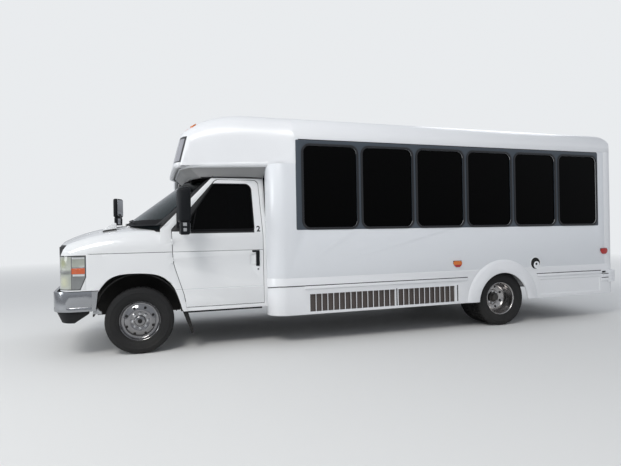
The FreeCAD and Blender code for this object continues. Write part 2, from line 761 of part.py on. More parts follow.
def clip_outline(x, middle, shoulder, shoulder_half, side_half, side_top, bottom, inset):
    """Cross section of hood and fenders at one station."""
    half = side_half - inset
    edge = shoulder_half - inset / 2

    def at(y, z):
        return Vector(x, y, z)

    low = side_top - inset / 2
    high = shoulder - inset
    top = middle - inset
    mid_y = edge + (half - edge) * 0.74
    mid_z = low + (high - low) * 0.66
    edges = [
        Part.LineSegment(at(half, bottom), at(half, low)),
        Part.Arc(at(half, low), at(mid_y, mid_z), at(edge, high)),
        Part.Arc(at(edge, high), at(0, top), at(-edge, high)),
        Part.Arc(at(-edge, high), at(-mid_y, mid_z), at(-half, low)),
        Part.LineSegment(at(-half, low), at(-half, bottom)),
        Part.LineSegment(at(-half, bottom), at(half, bottom)),
    ]
    return Part.Wire([edge.toShape() for edge in edges])




def clip_form(inset, bottom):
    """Solid of the cab's nose: hood and fenders in one."""
    wires = [clip_outline(row[0], *row[1:], bottom, inset) for row in CLIP_TABLE]
    body = Part.makeLoft(wires, True, False)
    plan = prism("Z", [
        (-520, CAB_HALF - inset), (818 - inset, CAB_HALF - inset, 200 - inset), (852 - inset, 0, 2600),
        (818 - inset, -CAB_HALF + inset, 200 - inset), (-520, -CAB_HALF + inset),
    ], bottom, ROOF_TOP)
    return body.common(plan)


def front_arch(grow):
    """Outline of the front wheel opening from the side."""
    return [
        (-434 - grow, SILL_LOW - 100), (-434 - grow, 560, 60), (-345 - grow, 800, 160), (-120, 899 + grow,
                200),
        (170, 899 + grow, 220), (400 + grow, 790, 140), (470 + grow, 520, 60), (470 + grow, SILL_LOW - 100),
    ]


def hood_region(grow):
    """Region of the hood seen from above, ending at the curved cowl."""
    rear = Part.Face(Part.Wire([
        Part.Arc(Vector(60 - grow, -HOOD_HALF - grow, 900), Vector(226 - grow, 0, 900),
                 Vector(60 - grow, HOOD_HALF + grow, 900)).toShape(),
        Part.LineSegment(Vector(60 - grow, HOOD_HALF + grow, 900), Vector(900, HOOD_HALF + grow,
                900)).toShape(),
        Part.LineSegment(Vector(900, HOOD_HALF + grow, 900), Vector(900, -HOOD_HALF - grow, 900)).toShape(),
        Part.LineSegment(Vector(900, -HOOD_HALF - grow, 900), Vector(60 - grow, -HOOD_HALF - grow,
                900)).toShape(),
    ]))
    return rear.extrude(Vector(0, 0, 900)).common(block(-100, 900, -1000, 1000, 1236 - grow, 1800))




def nose_panels():
    """Fenders, hood, grille and headlamps from the nose's form."""
    shell = clip_form(0, SILL_LOW).cut(clip_form(CLIP_WALL, SILL_LOW - 10))
    arch = prism("Y", front_arch(0), -2 * CAB_HALF, 2 * CAB_HALF)
    shell = shell.cut(arch)
    bumper_zone = block(400, 1200, -1200, 1200, 0, 738)
    shell = shell.cut(bumper_zone)
    door_zone = prism("Y", door_corners(0), -2 * CAB_HALF, 2 * CAB_HALF)
    glass_zone = glass_solid(900, 200, 4)
    shell = shell.cut(glass_zone)
    lamp_zone = block(HEADLAMP_BACK, 1000, HEADLAMP_INNER, 1100, HEADLAMP_LOW, HEADLAMP_HIGH)
    lamp_zones = lamp_zone.fuse(mirrored(lamp_zone))
    grille_zone = block(600, 1000, -HEADLAMP_INNER + 4, HEADLAMP_INNER - 4, 738, GRILLE_TOP)
    hood = clip_form(0, SILL_LOW).cut(clip_form(CLIP_WALL, SILL_LOW - 10)).common(hood_region(-SHUT_LINE))
    hood = hood.cut(glass_zone)
    pockets = hood_hinge_room(CAB_HINGE[1] / 6 + HINGE_CLEAR, HINGE_CLEAR) + cab_hinge_pockets()
    fenders = shell.cut([hood_region(0), lamp_zones, grille_zone] + pockets)
    left = fenders.common(block(-520, 900, 0, 1100, 0, ROOF_TOP)).cut(door_zone)
    right = fenders.common(block(POD_FRONT + SEAT, 900, -1100, 0, 0, ROOF_TOP))
    keep("fender_left", left)
    keep("fender_right", right)
    parts = [hood]
    fixed_parts = []
    for side in (1, -1):
        middle = Vector(HOOD_HINGE_X, side * HOOD_HINGE_Y, HOOD_HINGE_Z)
        fixed, swung = hinge(middle, Vector(-1, 0, 0), Vector(0, 0, 1), CAB_HINGE, 22)
        fixed_parts.append(fixed.cut(clip_form(0, SILL_LOW)))
        parts.append(swung)
    keep("hood", fused(parts))
    thick = clip_form(0, 700).cut(clip_form(70, 690))
    lamp = thick.common(lamp_zone).cut(block(0, 2000, 0, 2000, 0, HEADLAMP_LOW + SEAT))
    keep("headlamps", Part.Compound([lamp, mirrored(lamp)]))
    grille(thick, grille_zone)
    return fixed_parts


def grille(thick, zone):
    """Front grille: a frame with level bars and fine uprights."""
    frame = thick.common(zone)
    low = 790
    high = GRILLE_TOP - 34
    half = HEADLAMP_INNER - 50
    hole = block(600, 1000, -half, half, low, high)
    bars = []
    count = 4
    step = (high - low) / count
    for index in range(1, count):
        z = low + index * step
        bars.append(block(600, 1000, -half - 1, half + 1, z - 16, z + 16))
    for index in range(-9, 10):
        y = index * half / 9.5
        bars.append(block(600, 820 - abs(y) * 0.03, y - 4, y + 4, low - 1, high + 1))
    web = thick.common(fused(bars))
    keep("grille", fused([frame.cut(hole), web]))


def cab_frame():
    """Pillars, roof header, sills and cowl that carry the cab's panels."""
    parts = []
    side = cab_side(CAB_WALL, 0, CAB_BACK + SEAT, -230)
    opening = prism("Y", door_corners(0), 0, 2 * CAB_HALF)
    nose = clip_form(-SEAT, 300)
    pillar_zone = prism("Y", [(-2000, SILL_LOW), (-520 - SEAT, SILL_LOW), (-520 - SEAT, 1200), (-230, 1200),
                              (-230, 1420),
                              (-840, CAB_ROOF), (-2000, CAB_ROOF)], 0, 2 * CAB_HALF)
    pane = glass_solid(200, SEAT, 40)
    left = side.cut(opening).cut(nose).common(pillar_zone).cut(pane)
    parts.append(left)
    right_side = mirrored(cab_side(CAB_WALL, 0, POD_FRONT + SEAT, -230)).cut(nose)
    right_zone = prism("Y", [(POD_FRONT, 1200), (-230, 1200), (-230, 1420), (POD_FRONT + 20, 1664),
                             (POD_FRONT, 1664)], -2 * CAB_HALF, 0)
    parts.append(right_side.common(right_zone).cut(pane))
    return parts


def pillar_band():
    """Pillars beside the windshield and the header above it."""
    outer = glass_solid(60, 40, 0)
    inner = glass_solid(200, SEAT, 40)
    band = outer.cut(inner).cut(clip_form(-SEAT, 300))
    head = glass_solid(60, 20, 0).common(block(-2000, 400, -900, 900, GLASS_HIGH + SEAT, GLASS_HEAD[0]))
    foot = glass_solid(60, 20, 0).common(block(-2000, 400, -1100, 1100, GLASS_FOOT[0],
                                               GLASS_LOW - SEAT)).cut(clip_form(-SEAT, 300))
    return fused([band, head, foot])


def cab_body():
    """Cab frame in one piece: pillars, header, cowl and sill."""
    band = pillar_band()
    room = hood_hinge_room(CAB_HINGE[1] / 2 + HINGE_CLEAR, CAB_HINGE[2] + HINGE_CLEAR)
    frame = fused([band] + cab_frame()).cut(room + cab_hinge_pockets())
    keep("cab_frame", frame)


def cab_floor():
    """Cab floor and firewall."""
    right = -(BODY_HALF - 2 * WALL) + 500
    left = CAB_HALF - CAB_WALL - SEAT
    floor = block(CAB_BACK - 1, -470, right, left, CAB_FLOOR, CAB_FLOOR + PLATE)
    wall = block(-470, -440, right, left, CAB_FLOOR, 1100)
    riser = block(CAB_BACK - 1, CAB_BACK - PLATE, right, left, CAB_FLOOR, FLOOR_UNDER - SEAT)
    keep("cab_floor", fused([floor, wall, riser]))


def dashboard():
    """Dashboard with the steering column and wheel."""
    body = prism("Y", [(-440, 1000), (-300, 1340, 60), (-560, 1362, 60), (-690, 1290, 60), (-640, 1080,
            60)], -900, 900)
    body = body.cut(block(-470 - SEAT, -400, -1000, 1000, 0, 1100 + SEAT))
    centre = Vector(-820, 430, 1290)
    axis = Vector(-0.8, 0, 0.6)
    column = rod(Vector(-640, 430, 1155), centre, 38)
    wheel = Part.makeTorus(190, 16, centre, axis)
    hub = Part.makeCylinder(55, 40, centre - axis * 20, axis)
    spoke = block(-20, 20, -190, 190, -12, 12)
    spoke.Placement = FreeCAD.Placement(centre, FreeCAD.Rotation(Vector(0, 0, 1), axis))
    keep("dashboard", fused([body, column, wheel, hub, spoke]))


def seat_solid(x, y1, y2, floor, cushion, back):
    """Seat with a pedestal, seen from the side: cushion and raked back."""
    corners = [(x, floor), (x + 60, floor), (x + 60, floor + cushion - 130), (x + 260,
            floor + cushion - 130, 30),
               (x + 250, floor + cushion, 40), (x - 190, floor + cushion - 20, 20), (x - 300, floor + back,
                       40),
               (x - 390, floor + back, 40), (x - 260, floor + cushion - 130, 20), (x - 60,
                       floor + cushion - 130),
               (x - 60, floor)]
    return prism("Y", corners, y1, y2)


def seats():
    """Driver's seat and the rows of passenger seats."""
    keep("driver_seat", seat_solid(-1080, 170, 690, CAB_FLOOR + PLATE, 400, 1120))
    rows = []
    for index in range(6):
        x = WINDOW_START - 380 - index * WINDOW_PITCH
        rows.append(seat_solid(x, 270, 1150, FLOOR_TOP, 430, 1120))
        rows.append(seat_solid(x, -1150, -270, FLOOR_TOP, 430, 1120))
    keep("passenger_seats", Part.Compound(rows))


def fender_mirrors():
    """Pedestals on the fenders; the right one carries an arm and a round mirror."""
    form = clip_form(0, SILL_LOW)
    pedestal = prism("Y", [(396, 1300), (250, 1300), (250, 1480, 12), (288, 1480, 12), (396, 1400, 8)], 616,
                     690)
    pedestal = pedestal.cut(form)
    bore = Part.makeCylinder(8, 60, Vector(270, 653, 1430))
    left = pedestal.cut(bore)
    right = mirrored(pedestal)
    arm_points = [Vector(270, -653, 1470), Vector(270, -700, 1560), Vector(300, -1000, 1640), Vector(340,
            -1290, 1660)]
    parts = [right]
    for start, end in zip(arm_points, arm_points[1:]):
        parts.append(rod(start, end, 13))
        parts.append(Part.makeSphere(13, end))
    head = prism("Z", rectangle(330, 400, -1400, -1180, 28), 1624, 1901)
    parts.append(head)
    keep("fender_mirrors", Part.Compound([left, fused(parts)]))


# Bumpers


def front_bumper():
    """Chrome bumper wrapping to the fenders, and the valance under it."""
    turn = math.atan((FRONT_OVERHANG - BUMPER_SIDE_X) / BUMPER_HALF)
    bow = BUMPER_BOW * (1 / math.cos(turn) - 1)

    def form(inset, back, low, high):
        side = BUMPER_HALF - inset
        return prism("Z", [
            (back, side), (BUMPER_SIDE_X - inset, side, BUMPER_CORNER - inset),
            (FRONT_OVERHANG + bow - inset, 0, BUMPER_BOW),
            (BUMPER_SIDE_X - inset, -side, BUMPER_CORNER - inset), (back, -side),
        ], low, high)

    bumper = form(0, 482, 512, 733).cut(form(34, 400, 500, 740))
    keep("front_bumper", bumper)
    valance = form(26, 520, 392, 511.7).cut(form(60, 400, 380, 520))
    keep("front_valance", valance)


def rear_bumper():
    """Rear bumper with its two corners."""
    outer = prism("Z", [(REAR_SEAM - 60, 1236), (-REAR_OVERHANG - WHEELBASE, 1236, 120),
                        (-REAR_OVERHANG - WHEELBASE, -1236, 120), (REAR_SEAM - 60, -1236)], 520, 690)
    inner = prism("Z", [(REAR_SEAM, 1219 + SEAT), (REAR_FACE - SEAT, 1219 + SEAT, 150), (REAR_FACE - SEAT,
            -1219 - SEAT, 150),
                        (REAR_SEAM, -1219 - SEAT)], 510, 700)
    bumper = outer.cut(inner)
    for side in (1, -1):
        hole = Vector(-REAR_OVERHANG - WHEELBASE - 5, side * PLATE_SPACING / 2, 605)
        bumper = bumper.cut(Part.makeCylinder(PLATE_HOLE, 60, hole, Vector(1, 0, 0)))
    keep("rear_bumper", bumper)


# Chassis


def frame():
    """Frame rails and their crossmembers."""
    top = FLOOR_UNDER
    bottom = top - RAIL_HEIGHT
    outer = block(RAIL_REAR, RAIL_FRONT, RAIL_HALF - RAIL_FLANGE, RAIL_HALF, bottom, top)
    inner = block(RAIL_REAR - 5, RAIL_FRONT + 5, RAIL_HALF - RAIL_FLANGE - 5, RAIL_HALF - RAIL_WEB,
                  bottom + RAIL_WEB,
                  top - RAIL_WEB)
    rail = outer.cut(inner)
    step = CAB_BACK - PLATE - BEAM_WIDTH - 2 * SEAT
    drop = block(step, RAIL_FRONT + 10, 0, RAIL_HALF + 10, CAB_FLOOR - 1, top + 1)
    drop = drop.fuse(block(CAB_BACK + 160, RAIL_FRONT + 10, 0, RAIL_HALF + 10, 0, top + 1))
    low_rail = rail.cut(drop)
    front = block(step, RAIL_FRONT, RAIL_HALF - RAIL_FLANGE, RAIL_HALF, CAB_FLOOR - RAIL_HEIGHT, CAB_FLOOR)
    front_hollow = block(CAB_BACK + 200, RAIL_FRONT + 5, RAIL_HALF - RAIL_FLANGE - 5, RAIL_HALF - RAIL_WEB,
                         CAB_FLOOR - RAIL_HEIGHT + RAIL_WEB, CAB_FLOOR - RAIL_WEB)
    horn = block(RAIL_FRONT - 1, 886.5, RAIL_HALF - RAIL_FLANGE, RAIL_HALF, 520, 640)
    pad = block(JACK_X - JACK_HALF, JACK_X + JACK_HALF, RAIL_HALF - RAIL_FLANGE, RAIL_HALF,
                bottom - JACK_DROP, bottom + 1)
    whole = fused([low_rail, front.cut(front_hollow), horn, pad])
    keep("frame_rails", Part.Compound([whole, mirrored(whole)]))
    members = []
    reach = RAIL_HALF - RAIL_WEB - SEAT
    length = RAIL_FRONT - RAIL_REAR - 2 * CROSS_END
    for index in range(CROSS_COUNT):
        x = RAIL_REAR + CROSS_END + index * length / (CROSS_COUNT - 1)
        level = bottom + RAIL_WEB + SEAT
        if x > CAB_BACK - 100:
            level = CAB_FLOOR - RAIL_WEB - SEAT - 60
        if abs(x) < 400:
            continue
        members.append(block(x - CROSS_WIDTH / 2, x + CROSS_WIDTH / 2, -reach, reach, level, level + 60))
    keep("frame_crossmembers", Part.Compound(members))


def engine():
    """Plain engine block with its gearbox and two arms on the rails."""
    arms = block(80, 160, -RAIL_HALF + 20, RAIL_HALF - 20, 499 + SEAT, 600)
    gearbox = block(-720, -230, -140, 140, 440, 640)
    keep("engine_block", fused([block(-240, 460, -280, 280, 580, 1120), gearbox, arms]))


def front_axle():
    """Two crossed beams with eyes for the kingpins, and a coil spring on each."""
    solids = []
    for side, shift in ((1, 55), (-1, -55)):
        eye = Vector(0, side * KINGPIN_Y, 0)
        upper = Part.makeCylinder(KINGPIN_RADIUS, 26, eye + Vector(0, 0, 462 + SEAT))
        lower = Part.makeCylinder(KINGPIN_RADIUS, 26, eye + Vector(0, 0, 282 - 26 - SEAT))
        yoke = block(-32, 32, side * (KINGPIN_Y - 60), side * (KINGPIN_Y - 96), 256, 488)
        arm_up = block(-32, 32, side * (KINGPIN_Y), side * (KINGPIN_Y - 70), 462 + SEAT, 488)
        arm_low = block(-32, 32, side * (KINGPIN_Y), side * (KINGPIN_Y - 70), 256, 282 - SEAT)
        pin = Part.makeCylinder(12, 220, eye + Vector(0, 0, 262))
        beam = prism("Z", [
            (-32, side * (KINGPIN_Y - 90)), (32, side * (KINGPIN_Y - 90)), (32 + shift, side * 400),
            (32 + shift, -side * 330), (-32 + shift, -side * 330), (-32 + shift, side * 400),
        ], 330, 420)
        spring = Part.makeCylinder(58, 170, Vector(20 * side, side * 560, 420))
        bracket = block(shift - 60, shift + 60, -side * 300, -side * (RAIL_HALF - RAIL_FLANGE), 400,
                        CAB_FLOOR - RAIL_HEIGHT)
        solids.append(fused([upper, lower, yoke, arm_up, arm_low, pin, beam, spring, bracket]))
    keep("front_axle_beams", Part.Compound(solids))


def knuckle(side):
    """Steering knuckle: a boss on the kingpin and the spindle for the wheel."""
    centre = Vector(0, side * KINGPIN_Y, 0)
    boss = Part.makeCylinder(KINGPIN_RADIUS, 180, centre + Vector(0, 0, 282))
    bore = Part.makeCylinder(12 + SEAT, 400, centre + Vector(0, 0, 200))
    end = FRONT_CENTRE + FRONT_FACE_OUT - 12 - SEAT
    spindle = rod(Vector(0, side * KINGPIN_Y, TYRE_RADIUS), Vector(0, side * end, TYRE_RADIUS),
                  SPINDLE_RADIUS)
    plate = rod(Vector(0, side * 786, TYRE_RADIUS), Vector(0, side * 806, TYRE_RADIUS), 120)
    return fused([boss, spindle, plate]).cut(bore)


def tyre(centre, side):
    """Tyre turned about its axle, with rounded shoulders and an open bore."""
    half = TYRE_WIDTH / 2
    bead = RIM_RADIUS - 10 + SEAT
    flat = half - TYRE_SHOULDER
    profile = []
    for radius, along in (
            (bead, RIM_WIDTH / 2 - 12.5), (RIM_RADIUS + 2 * SEAT, RIM_WIDTH / 2 - SEAT / 2),
            (RIM_RADIUS + 60, half), (TYRE_RADIUS - 26, half - 6), (TYRE_RADIUS, flat)):
        profile.append((radius, along))
        profile.insert(0, (radius, -along))
    return turned(profile, centre, side)


def rim(centre, side, disc_at, cap_out):
    """Steel wheel: a barrel, a dished disc and a hub."""
    half = RIM_WIDTH / 2
    barrel_radius = RIM_RADIUS - 10
    barrel = turned([
        (RIM_RADIUS, -half), (barrel_radius, -half + 12), (barrel_radius, half - 12), (RIM_RADIUS, half),
        (barrel_radius - 14, half - 24), (barrel_radius - 14, -half + 24),
    ], centre, side)
    lip = max(-half + 40, min(half - 40, disc_at * 0.55))
    toward = 1 if disc_at > lip else -1
    disc = turned([
        (0, disc_at), (112, disc_at), (barrel_radius - 13, lip), (barrel_radius - 13, lip - 14 * toward),
        (106, disc_at - toward * 12), (0, disc_at - toward * 12),
    ], centre, side)
    parts = [barrel, disc]
    out = Vector(0, side, 0)
    base = centre + out * disc_at
    if cap_out > 0:
        parts.append(Part.makeCylinder(HUB_RADIUS, cap_out, base - out, out))
    return fused(parts)


def wheels():
    """Front wheels, and twin rear wheels with their discs back to back."""
    for side, name in ((1, "left"), (-1, "right")):
        front = Vector(0, side * FRONT_CENTRE, TYRE_RADIUS)
        keep("front_" + name + "_tyre", tyre(front, side))
        keep("front_" + name + "_rim", rim(front, side, FRONT_FACE_OUT, 40))
        outer = Vector(REAR_AXLE, side * DUAL_CENTRE, TYRE_RADIUS)
        inner = Vector(REAR_AXLE, side * (DUAL_CENTRE - DUAL_SPACING), TYRE_RADIUS)
        keep("rear_" + name + "_tyres", Part.Compound([tyre(outer, side), tyre(inner, side)]))
        near = rim(outer, side, -DUAL_SPACING / 2, 110)
        far = rim(inner, side, DUAL_SPACING / 2, 0)
        keep("rear_" + name + "_rims", fused([near, far]))
        keep("knuckle_" + name, knuckle(side))


def rear_axle():
    """Rear axle with its differential, driveshaft and leaf springs."""
    end = DUAL_CENTRE - DUAL_SPACING / 2 - 12 - SEAT
    centre = Vector(REAR_AXLE, 0, TYRE_RADIUS)
    tube = rod(centre + Vector(0, -end, 0), centre + Vector(0, end, 0), 52)
    housing = Part.makeSphere(165, centre)
    shaft = rod(centre, Vector(-722, 0, 520), 45)
    parts = [tube, housing, shaft]
    for side in (1, -1):
        y1 = side * (RAIL_HALF - 70)
        y2 = side * (RAIL_HALF - 5)
        leaf = prism("Y", [
            (REAR_AXLE - 640, 560), (REAR_AXLE - 640, 595), (REAR_AXLE - 300, 500), (REAR_AXLE, 470),
            (REAR_AXLE + 300, 500), (REAR_AXLE + 640, 595), (REAR_AXLE + 640, 560), (REAR_AXLE + 240, 440),
            (REAR_AXLE + 80, 410), (REAR_AXLE - 80, 410), (REAR_AXLE - 240, 440),
        ], min(y1, y2), max(y1, y2))
        parts.append(leaf)
        for reach in (-620, 620):
            parts.append(block(REAR_AXLE + reach - 20, REAR_AXLE + reach + 20, y1, y2, 575,
                               FLOOR_UNDER - RAIL_HEIGHT))
    keep("rear_axle", fused(parts))


def fuel_tank():
    """Fuel tank between the rails, behind the rear axle, and its straps."""
    tank = prism("X", rectangle(-340, 340, 390, 615, 40), -6350, -5560)
    parts = [tank]
    for x in (-5620, -6240):
        parts.append(block(x - 25, x + 25, -340, 340, 613, FLOOR_UNDER))
    keep("fuel_tank", fused(parts))


def exhaust():
    """Exhaust pipe with its silencer along the right-hand side."""
    y = -575
    pipe = [Vector(-700, y, 480), Vector(-4000, y, 480), Vector(-4200, y, 700), Vector(-5200, y, 700),
            Vector(-5400, y, 480), Vector(-6700, y, 440)]
    parts = [prism("X", rectangle(y - 110, y + 110, 400, 560, 60), -3300, -2300)]
    for start, end in zip(pipe, pipe[1:]):
        parts.append(rod(start, end, 35))
        parts.append(Part.makeSphere(35, start))
    for x in (-2500, -3100, -6100):
        parts.append(block(x - 15, x + 15, y - 15, y + 15, 455, FLOOR_UNDER))
    keep("exhaust_pipe", fused(parts))


def cab_steps():
    """Dark step strip under the cab door, and the mud flaps behind the front wheels."""
    strip = prism("X", [(900, 430), (1000, 430, 8), (1006, 450.7, 6), (900, 450.7)], -1390, -520)
    flap = prism("Y", [(-520, 450.7), (-500, 450.7), (-560, 190), (-572, 190)], 790, 990)
    hanger = block(-560, -500, 790, 990, 430, 450.7)
    left = fused([strip, flap, hanger])
    right_flap = prism("Y", [(-470, 640), (-458, 640), (-470, 190), (-478, 190)], -976, -790)
    right_hanger = block(-478, -440, -976, -620, 630, CAB_FLOOR)
    keep("cab_steps", Part.Compound([left, fused([right_flap, right_hanger])]))


def entry_leaf(front, back, name, hinge_x, fixed_way):
    """One glazed leaf of the entry door."""
    low = ENTRY_LOW
    high = ENTRY_HIGH
    leaf = prism("Y", rectangle(back, front, low, high), -BODY_HALF, -BODY_HALF + 36)
    hole = prism("Y", rectangle(back + LEAF_FRAME, front - LEAF_FRAME, low + 2 * LEAF_FRAME,
                                high - LEAF_FRAME, 40),
                 -BODY_HALF - 5, -BODY_HALF + 50)
    parts = [leaf.cut(hole)]
    fixed_parts = []
    for height in ENTRY_HINGE_HEIGHTS:
        middle = Vector(hinge_x, -BODY_HALF - BODY_HINGE[0] - HINGE_GAP, height)
        fixed, swung = hinge(middle, fixed_way, Vector(0, -1, 0), BODY_HINGE, BODY_HINGE[0] + HINGE_GAP)
        fixed_parts.append(fixed)
        parts.append(swung)
    keep("entry_leaf_" + name, fused(parts))
    pane = prism("Y", rectangle(back + LEAF_FRAME + SEAT, front - LEAF_FRAME - SEAT,
                                low + 2 * LEAF_FRAME + SEAT,
                                high - LEAF_FRAME - SEAT, 40 - SEAT), -BODY_HALF + 12,
                                -BODY_HALF + 12 + GLASS)
    keep("entry_glass_" + name, pane)
    return fixed_parts


def entry_door():
    """Two leaves that swing out from the doorway's two posts."""
    middle = ENTRY_FRONT - ENTRY_LENGTH / 2
    edge = SHUT_LINE / 2
    forward = Vector(1, 0, 0)
    front = entry_leaf(ENTRY_FRONT, middle + ENTRY_CENTRE_GAP / 2, "front", ENTRY_FRONT + edge, forward)
    back = ENTRY_FRONT - ENTRY_LENGTH
    return front + entry_leaf(middle - ENTRY_CENTRE_GAP / 2, back, "rear", back - edge, forward * -1)


def rear_door():
    """Rear door with an upper window, cut from the same wall."""
    panel = coach_shell(WALL, REAR_DOOR_LOW, REAR_DOOR_HIGH).common(rear_opening(0))
    corners = rectangle(-REAR_DOOR_HALF + 90, REAR_DOOR_HALF - 90, 1450, REAR_DOOR_HIGH - 90, 60)
    hole = prism("X", corners, REAR_FACE - 50, REAR_SEAM)
    parts = [panel.cut(hole)]
    fixed_parts = []
    wall = coach_form(0, FLOOR_UNDER, ROOF_SEAM)
    for height in REAR_HINGE_HEIGHTS:
        lean = max(0, height - WINDOW_LOW) / (ROOF_TOP - WINDOW_LOW) * REAR_LEAN
        middle = Vector(REAR_FACE - BODY_HINGE[0] - HINGE_GAP, -REAR_DOOR_HALF - SHUT_LINE / 2, height)
        fixed, swung = hinge(middle, Vector(0, -1, 0), Vector(-1, 0, 0), BODY_HINGE,
                             BODY_HINGE[0] + lean + 6)
        fixed_parts.append(fixed.cut(wall))
        parts.append(swung)
    keep("rear_door", fused(parts))
    small = rectangle(-REAR_DOOR_HALF + 90 + SEAT, REAR_DOOR_HALF - 90 - SEAT, 1450 + SEAT,
                      REAR_DOOR_HIGH - 90 - SEAT, 60)
    outer = coach_form(12, REAR_DOOR_LOW, REAR_DOOR_HIGH).cut(coach_form(12 + GLASS, REAR_DOOR_LOW - 5,
            REAR_DOOR_HIGH + 5))
    keep("rear_door_glass", outer.common(prism("X", small, REAR_FACE - 50, REAR_SEAM)))
    return fixed_parts


def exterior_lamps(cap):
    """Marker, clearance and tail lamps."""
    lamps = []
    for side in (1, -1):
        face = side * BODY_HALF
        for x, z in ((-3995, 877), (-6542, 978)):
            lamps.append(prism("Y", rectangle(x - 62, x + 62, z - 41, z + 41, 30), face, face + side * 16))
        tall = prism("X", rectangle(side * 1010 - 60, side * 1010 + 60, 960, 1320, 50), REAR_FACE - 18,
                     REAR_FACE)
        lamps.append(tall)
    rind = cap_form(-LAMP_RISE, CAP_BOTTOM).cut(cap)
    for y in (-ROOF_LAMP_SPAN, -ROOF_LAMP_STEP, 0, ROOF_LAMP_STEP, ROOF_LAMP_SPAN):
        x = ROOF_LAMP_X - abs(y) / 14
        lamps.append(rind.common(Part.makeCylinder(ROOF_LAMP_RADIUS, 600, Vector(x, y, CAP_BOTTOM + 100))))
    return lamps


def main():
    """Builds every piece of the minibus."""
    side_walls()
    for side, name in ((1, "left"), (-1, "right")):
        keep("window_glass_" + name, window_glass(side))
        keep("window_frames_" + name, window_frames(side))
        keep("skirt_" + name, skirt(side))
    keep("arch_flares", Part.Compound([arch_flare(1), arch_flare(-1)]))
    rear_wall()
    roof()
    coach_floor()
    cap = front_cap()
    hinges = cab_door()
    door_mirror()
    windshield()
    hinges += nose_panels()
    cab_body()
    cab_floor()
    dashboard()
    seats()
    fender_mirrors()
    front_bumper()
    rear_bumper()
    frame()
    engine()
    front_axle()
    wheels()
    rear_axle()
    fuel_tank()
    exhaust()
    cab_steps()
    hinges += entry_door()
    hinges += rear_door()
    keep("door_hinges", Part.Compound(hinges))
    keep("exterior_lamps", Part.Compound(exterior_lamps(cap)))


os.makedirs("parts", exist_ok=True)
main()
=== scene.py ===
import json
import math

import bmesh
import bpy
from mathutils import Matrix, Vector

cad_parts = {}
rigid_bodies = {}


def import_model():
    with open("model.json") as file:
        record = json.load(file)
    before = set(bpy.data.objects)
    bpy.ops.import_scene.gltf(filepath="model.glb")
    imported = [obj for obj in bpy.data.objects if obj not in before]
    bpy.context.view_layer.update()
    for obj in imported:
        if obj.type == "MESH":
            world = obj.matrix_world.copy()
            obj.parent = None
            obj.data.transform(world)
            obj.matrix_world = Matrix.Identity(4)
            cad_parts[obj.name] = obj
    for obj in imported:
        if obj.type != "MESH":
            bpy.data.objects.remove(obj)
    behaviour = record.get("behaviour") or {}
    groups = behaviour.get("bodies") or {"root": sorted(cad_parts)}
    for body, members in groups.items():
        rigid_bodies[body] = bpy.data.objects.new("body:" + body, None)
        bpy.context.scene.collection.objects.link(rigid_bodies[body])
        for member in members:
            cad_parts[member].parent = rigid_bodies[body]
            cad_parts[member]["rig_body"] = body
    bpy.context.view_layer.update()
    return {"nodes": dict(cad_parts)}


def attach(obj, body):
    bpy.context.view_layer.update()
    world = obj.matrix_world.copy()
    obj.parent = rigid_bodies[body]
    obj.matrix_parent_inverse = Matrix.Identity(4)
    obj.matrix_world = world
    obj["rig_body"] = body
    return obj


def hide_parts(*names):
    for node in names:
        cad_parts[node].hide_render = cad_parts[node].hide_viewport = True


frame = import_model()

# Places are given in millimetres from the ground under the front axle: forward, left, up.
# FRONT_AXLE alone is in metres: how far that axle lies ahead of the frame's origin.
FRONT_AXLE = 2.930
REAR_AXLE = -4724
AXLE_HEIGHT = 372
FRONT_WHEEL = 881
REAR_OUTER = 1072
REAR_INNER = 826
NUT_CIRCLE = 82.5
NUT_COUNT = 8
WINDOW_STARTS = [-1872 - index * 770 for index in range(6)]
WINDOW_LENGTH = 690
BAND_FRONT = WINDOW_STARTS[0] + 97
BAND_BACK = WINDOW_STARTS[-1] - WINDOW_LENGTH - 36
GRILLES = ((-1930, -3066), (-3112, -3950))
GRILLE_PITCH = 75
GRILLE_BAR_HALF = 4.5
BELT_LINE = 693
SWAGE_LINE = 1134
LOW_CREASE = 706
SIDE_MARKERS = ((-3995, 877), (-6542, 978))
TYRE_STEPS = 120
SIDES = ((1, "left"), (-1, "right"))


def spot(x, y, z):
    """Place in the frame, from millimetres about the front axle."""
    return Vector((FRONT_AXLE + x / 1000, y / 1000, z / 1000))


# Finishes


def group(name, inputs, outputs):
    """New shader node group with its sockets."""
    tree = bpy.data.node_groups.new(name, "ShaderNodeTree")
    for label, kind, value in inputs:
        socket = tree.interface.new_socket(label, in_out="INPUT", socket_type=kind)
        socket.default_value = value
    for label, kind in outputs:
        tree.interface.new_socket(label, in_out="OUTPUT", socket_type=kind)
    return tree, tree.nodes.new("NodeGroupInput"), tree.nodes.new("NodeGroupOutput")


def feed(tree, socket, value):
    """Links an output to an input socket, or sets the socket to a plain value."""
    if hasattr(value, "links"):
        tree.links.new(value, socket)
    elif value is not None:
        socket.default_value = value


def added(tree, kind, **inputs):
    """New shader node with its inputs fed."""
    node = tree.nodes.new("ShaderNode" + kind)
    for label, value in inputs.items():
        feed(tree, node.inputs[label], value)
    return node


def maths(tree, operation, a, b=None, c=None):
    """Math node whose inputs are sockets or numbers."""
    node = added(tree, "Math")
    node.operation = operation
    for socket, value in zip(node.inputs, (a, b, c)):
        feed(tree, socket, value)
    return node.outputs[0]


def blended(tree, factor, first, second):
    """Mix of two colours."""
    node = added(tree, "Mix")
    node.data_type = "RGBA"
    for socket, value in zip((node.inputs[0], node.inputs[6], node.inputs[7]), (factor, first, second)):
        feed(tree, socket, value)
    return node.outputs[2]


def noise(tree, place, scale, detail=4.0):
    """Noise value at a place."""
    return added(tree, "TexNoise", Scale=scale, Detail=detail, Vector=place).outputs["Fac"]


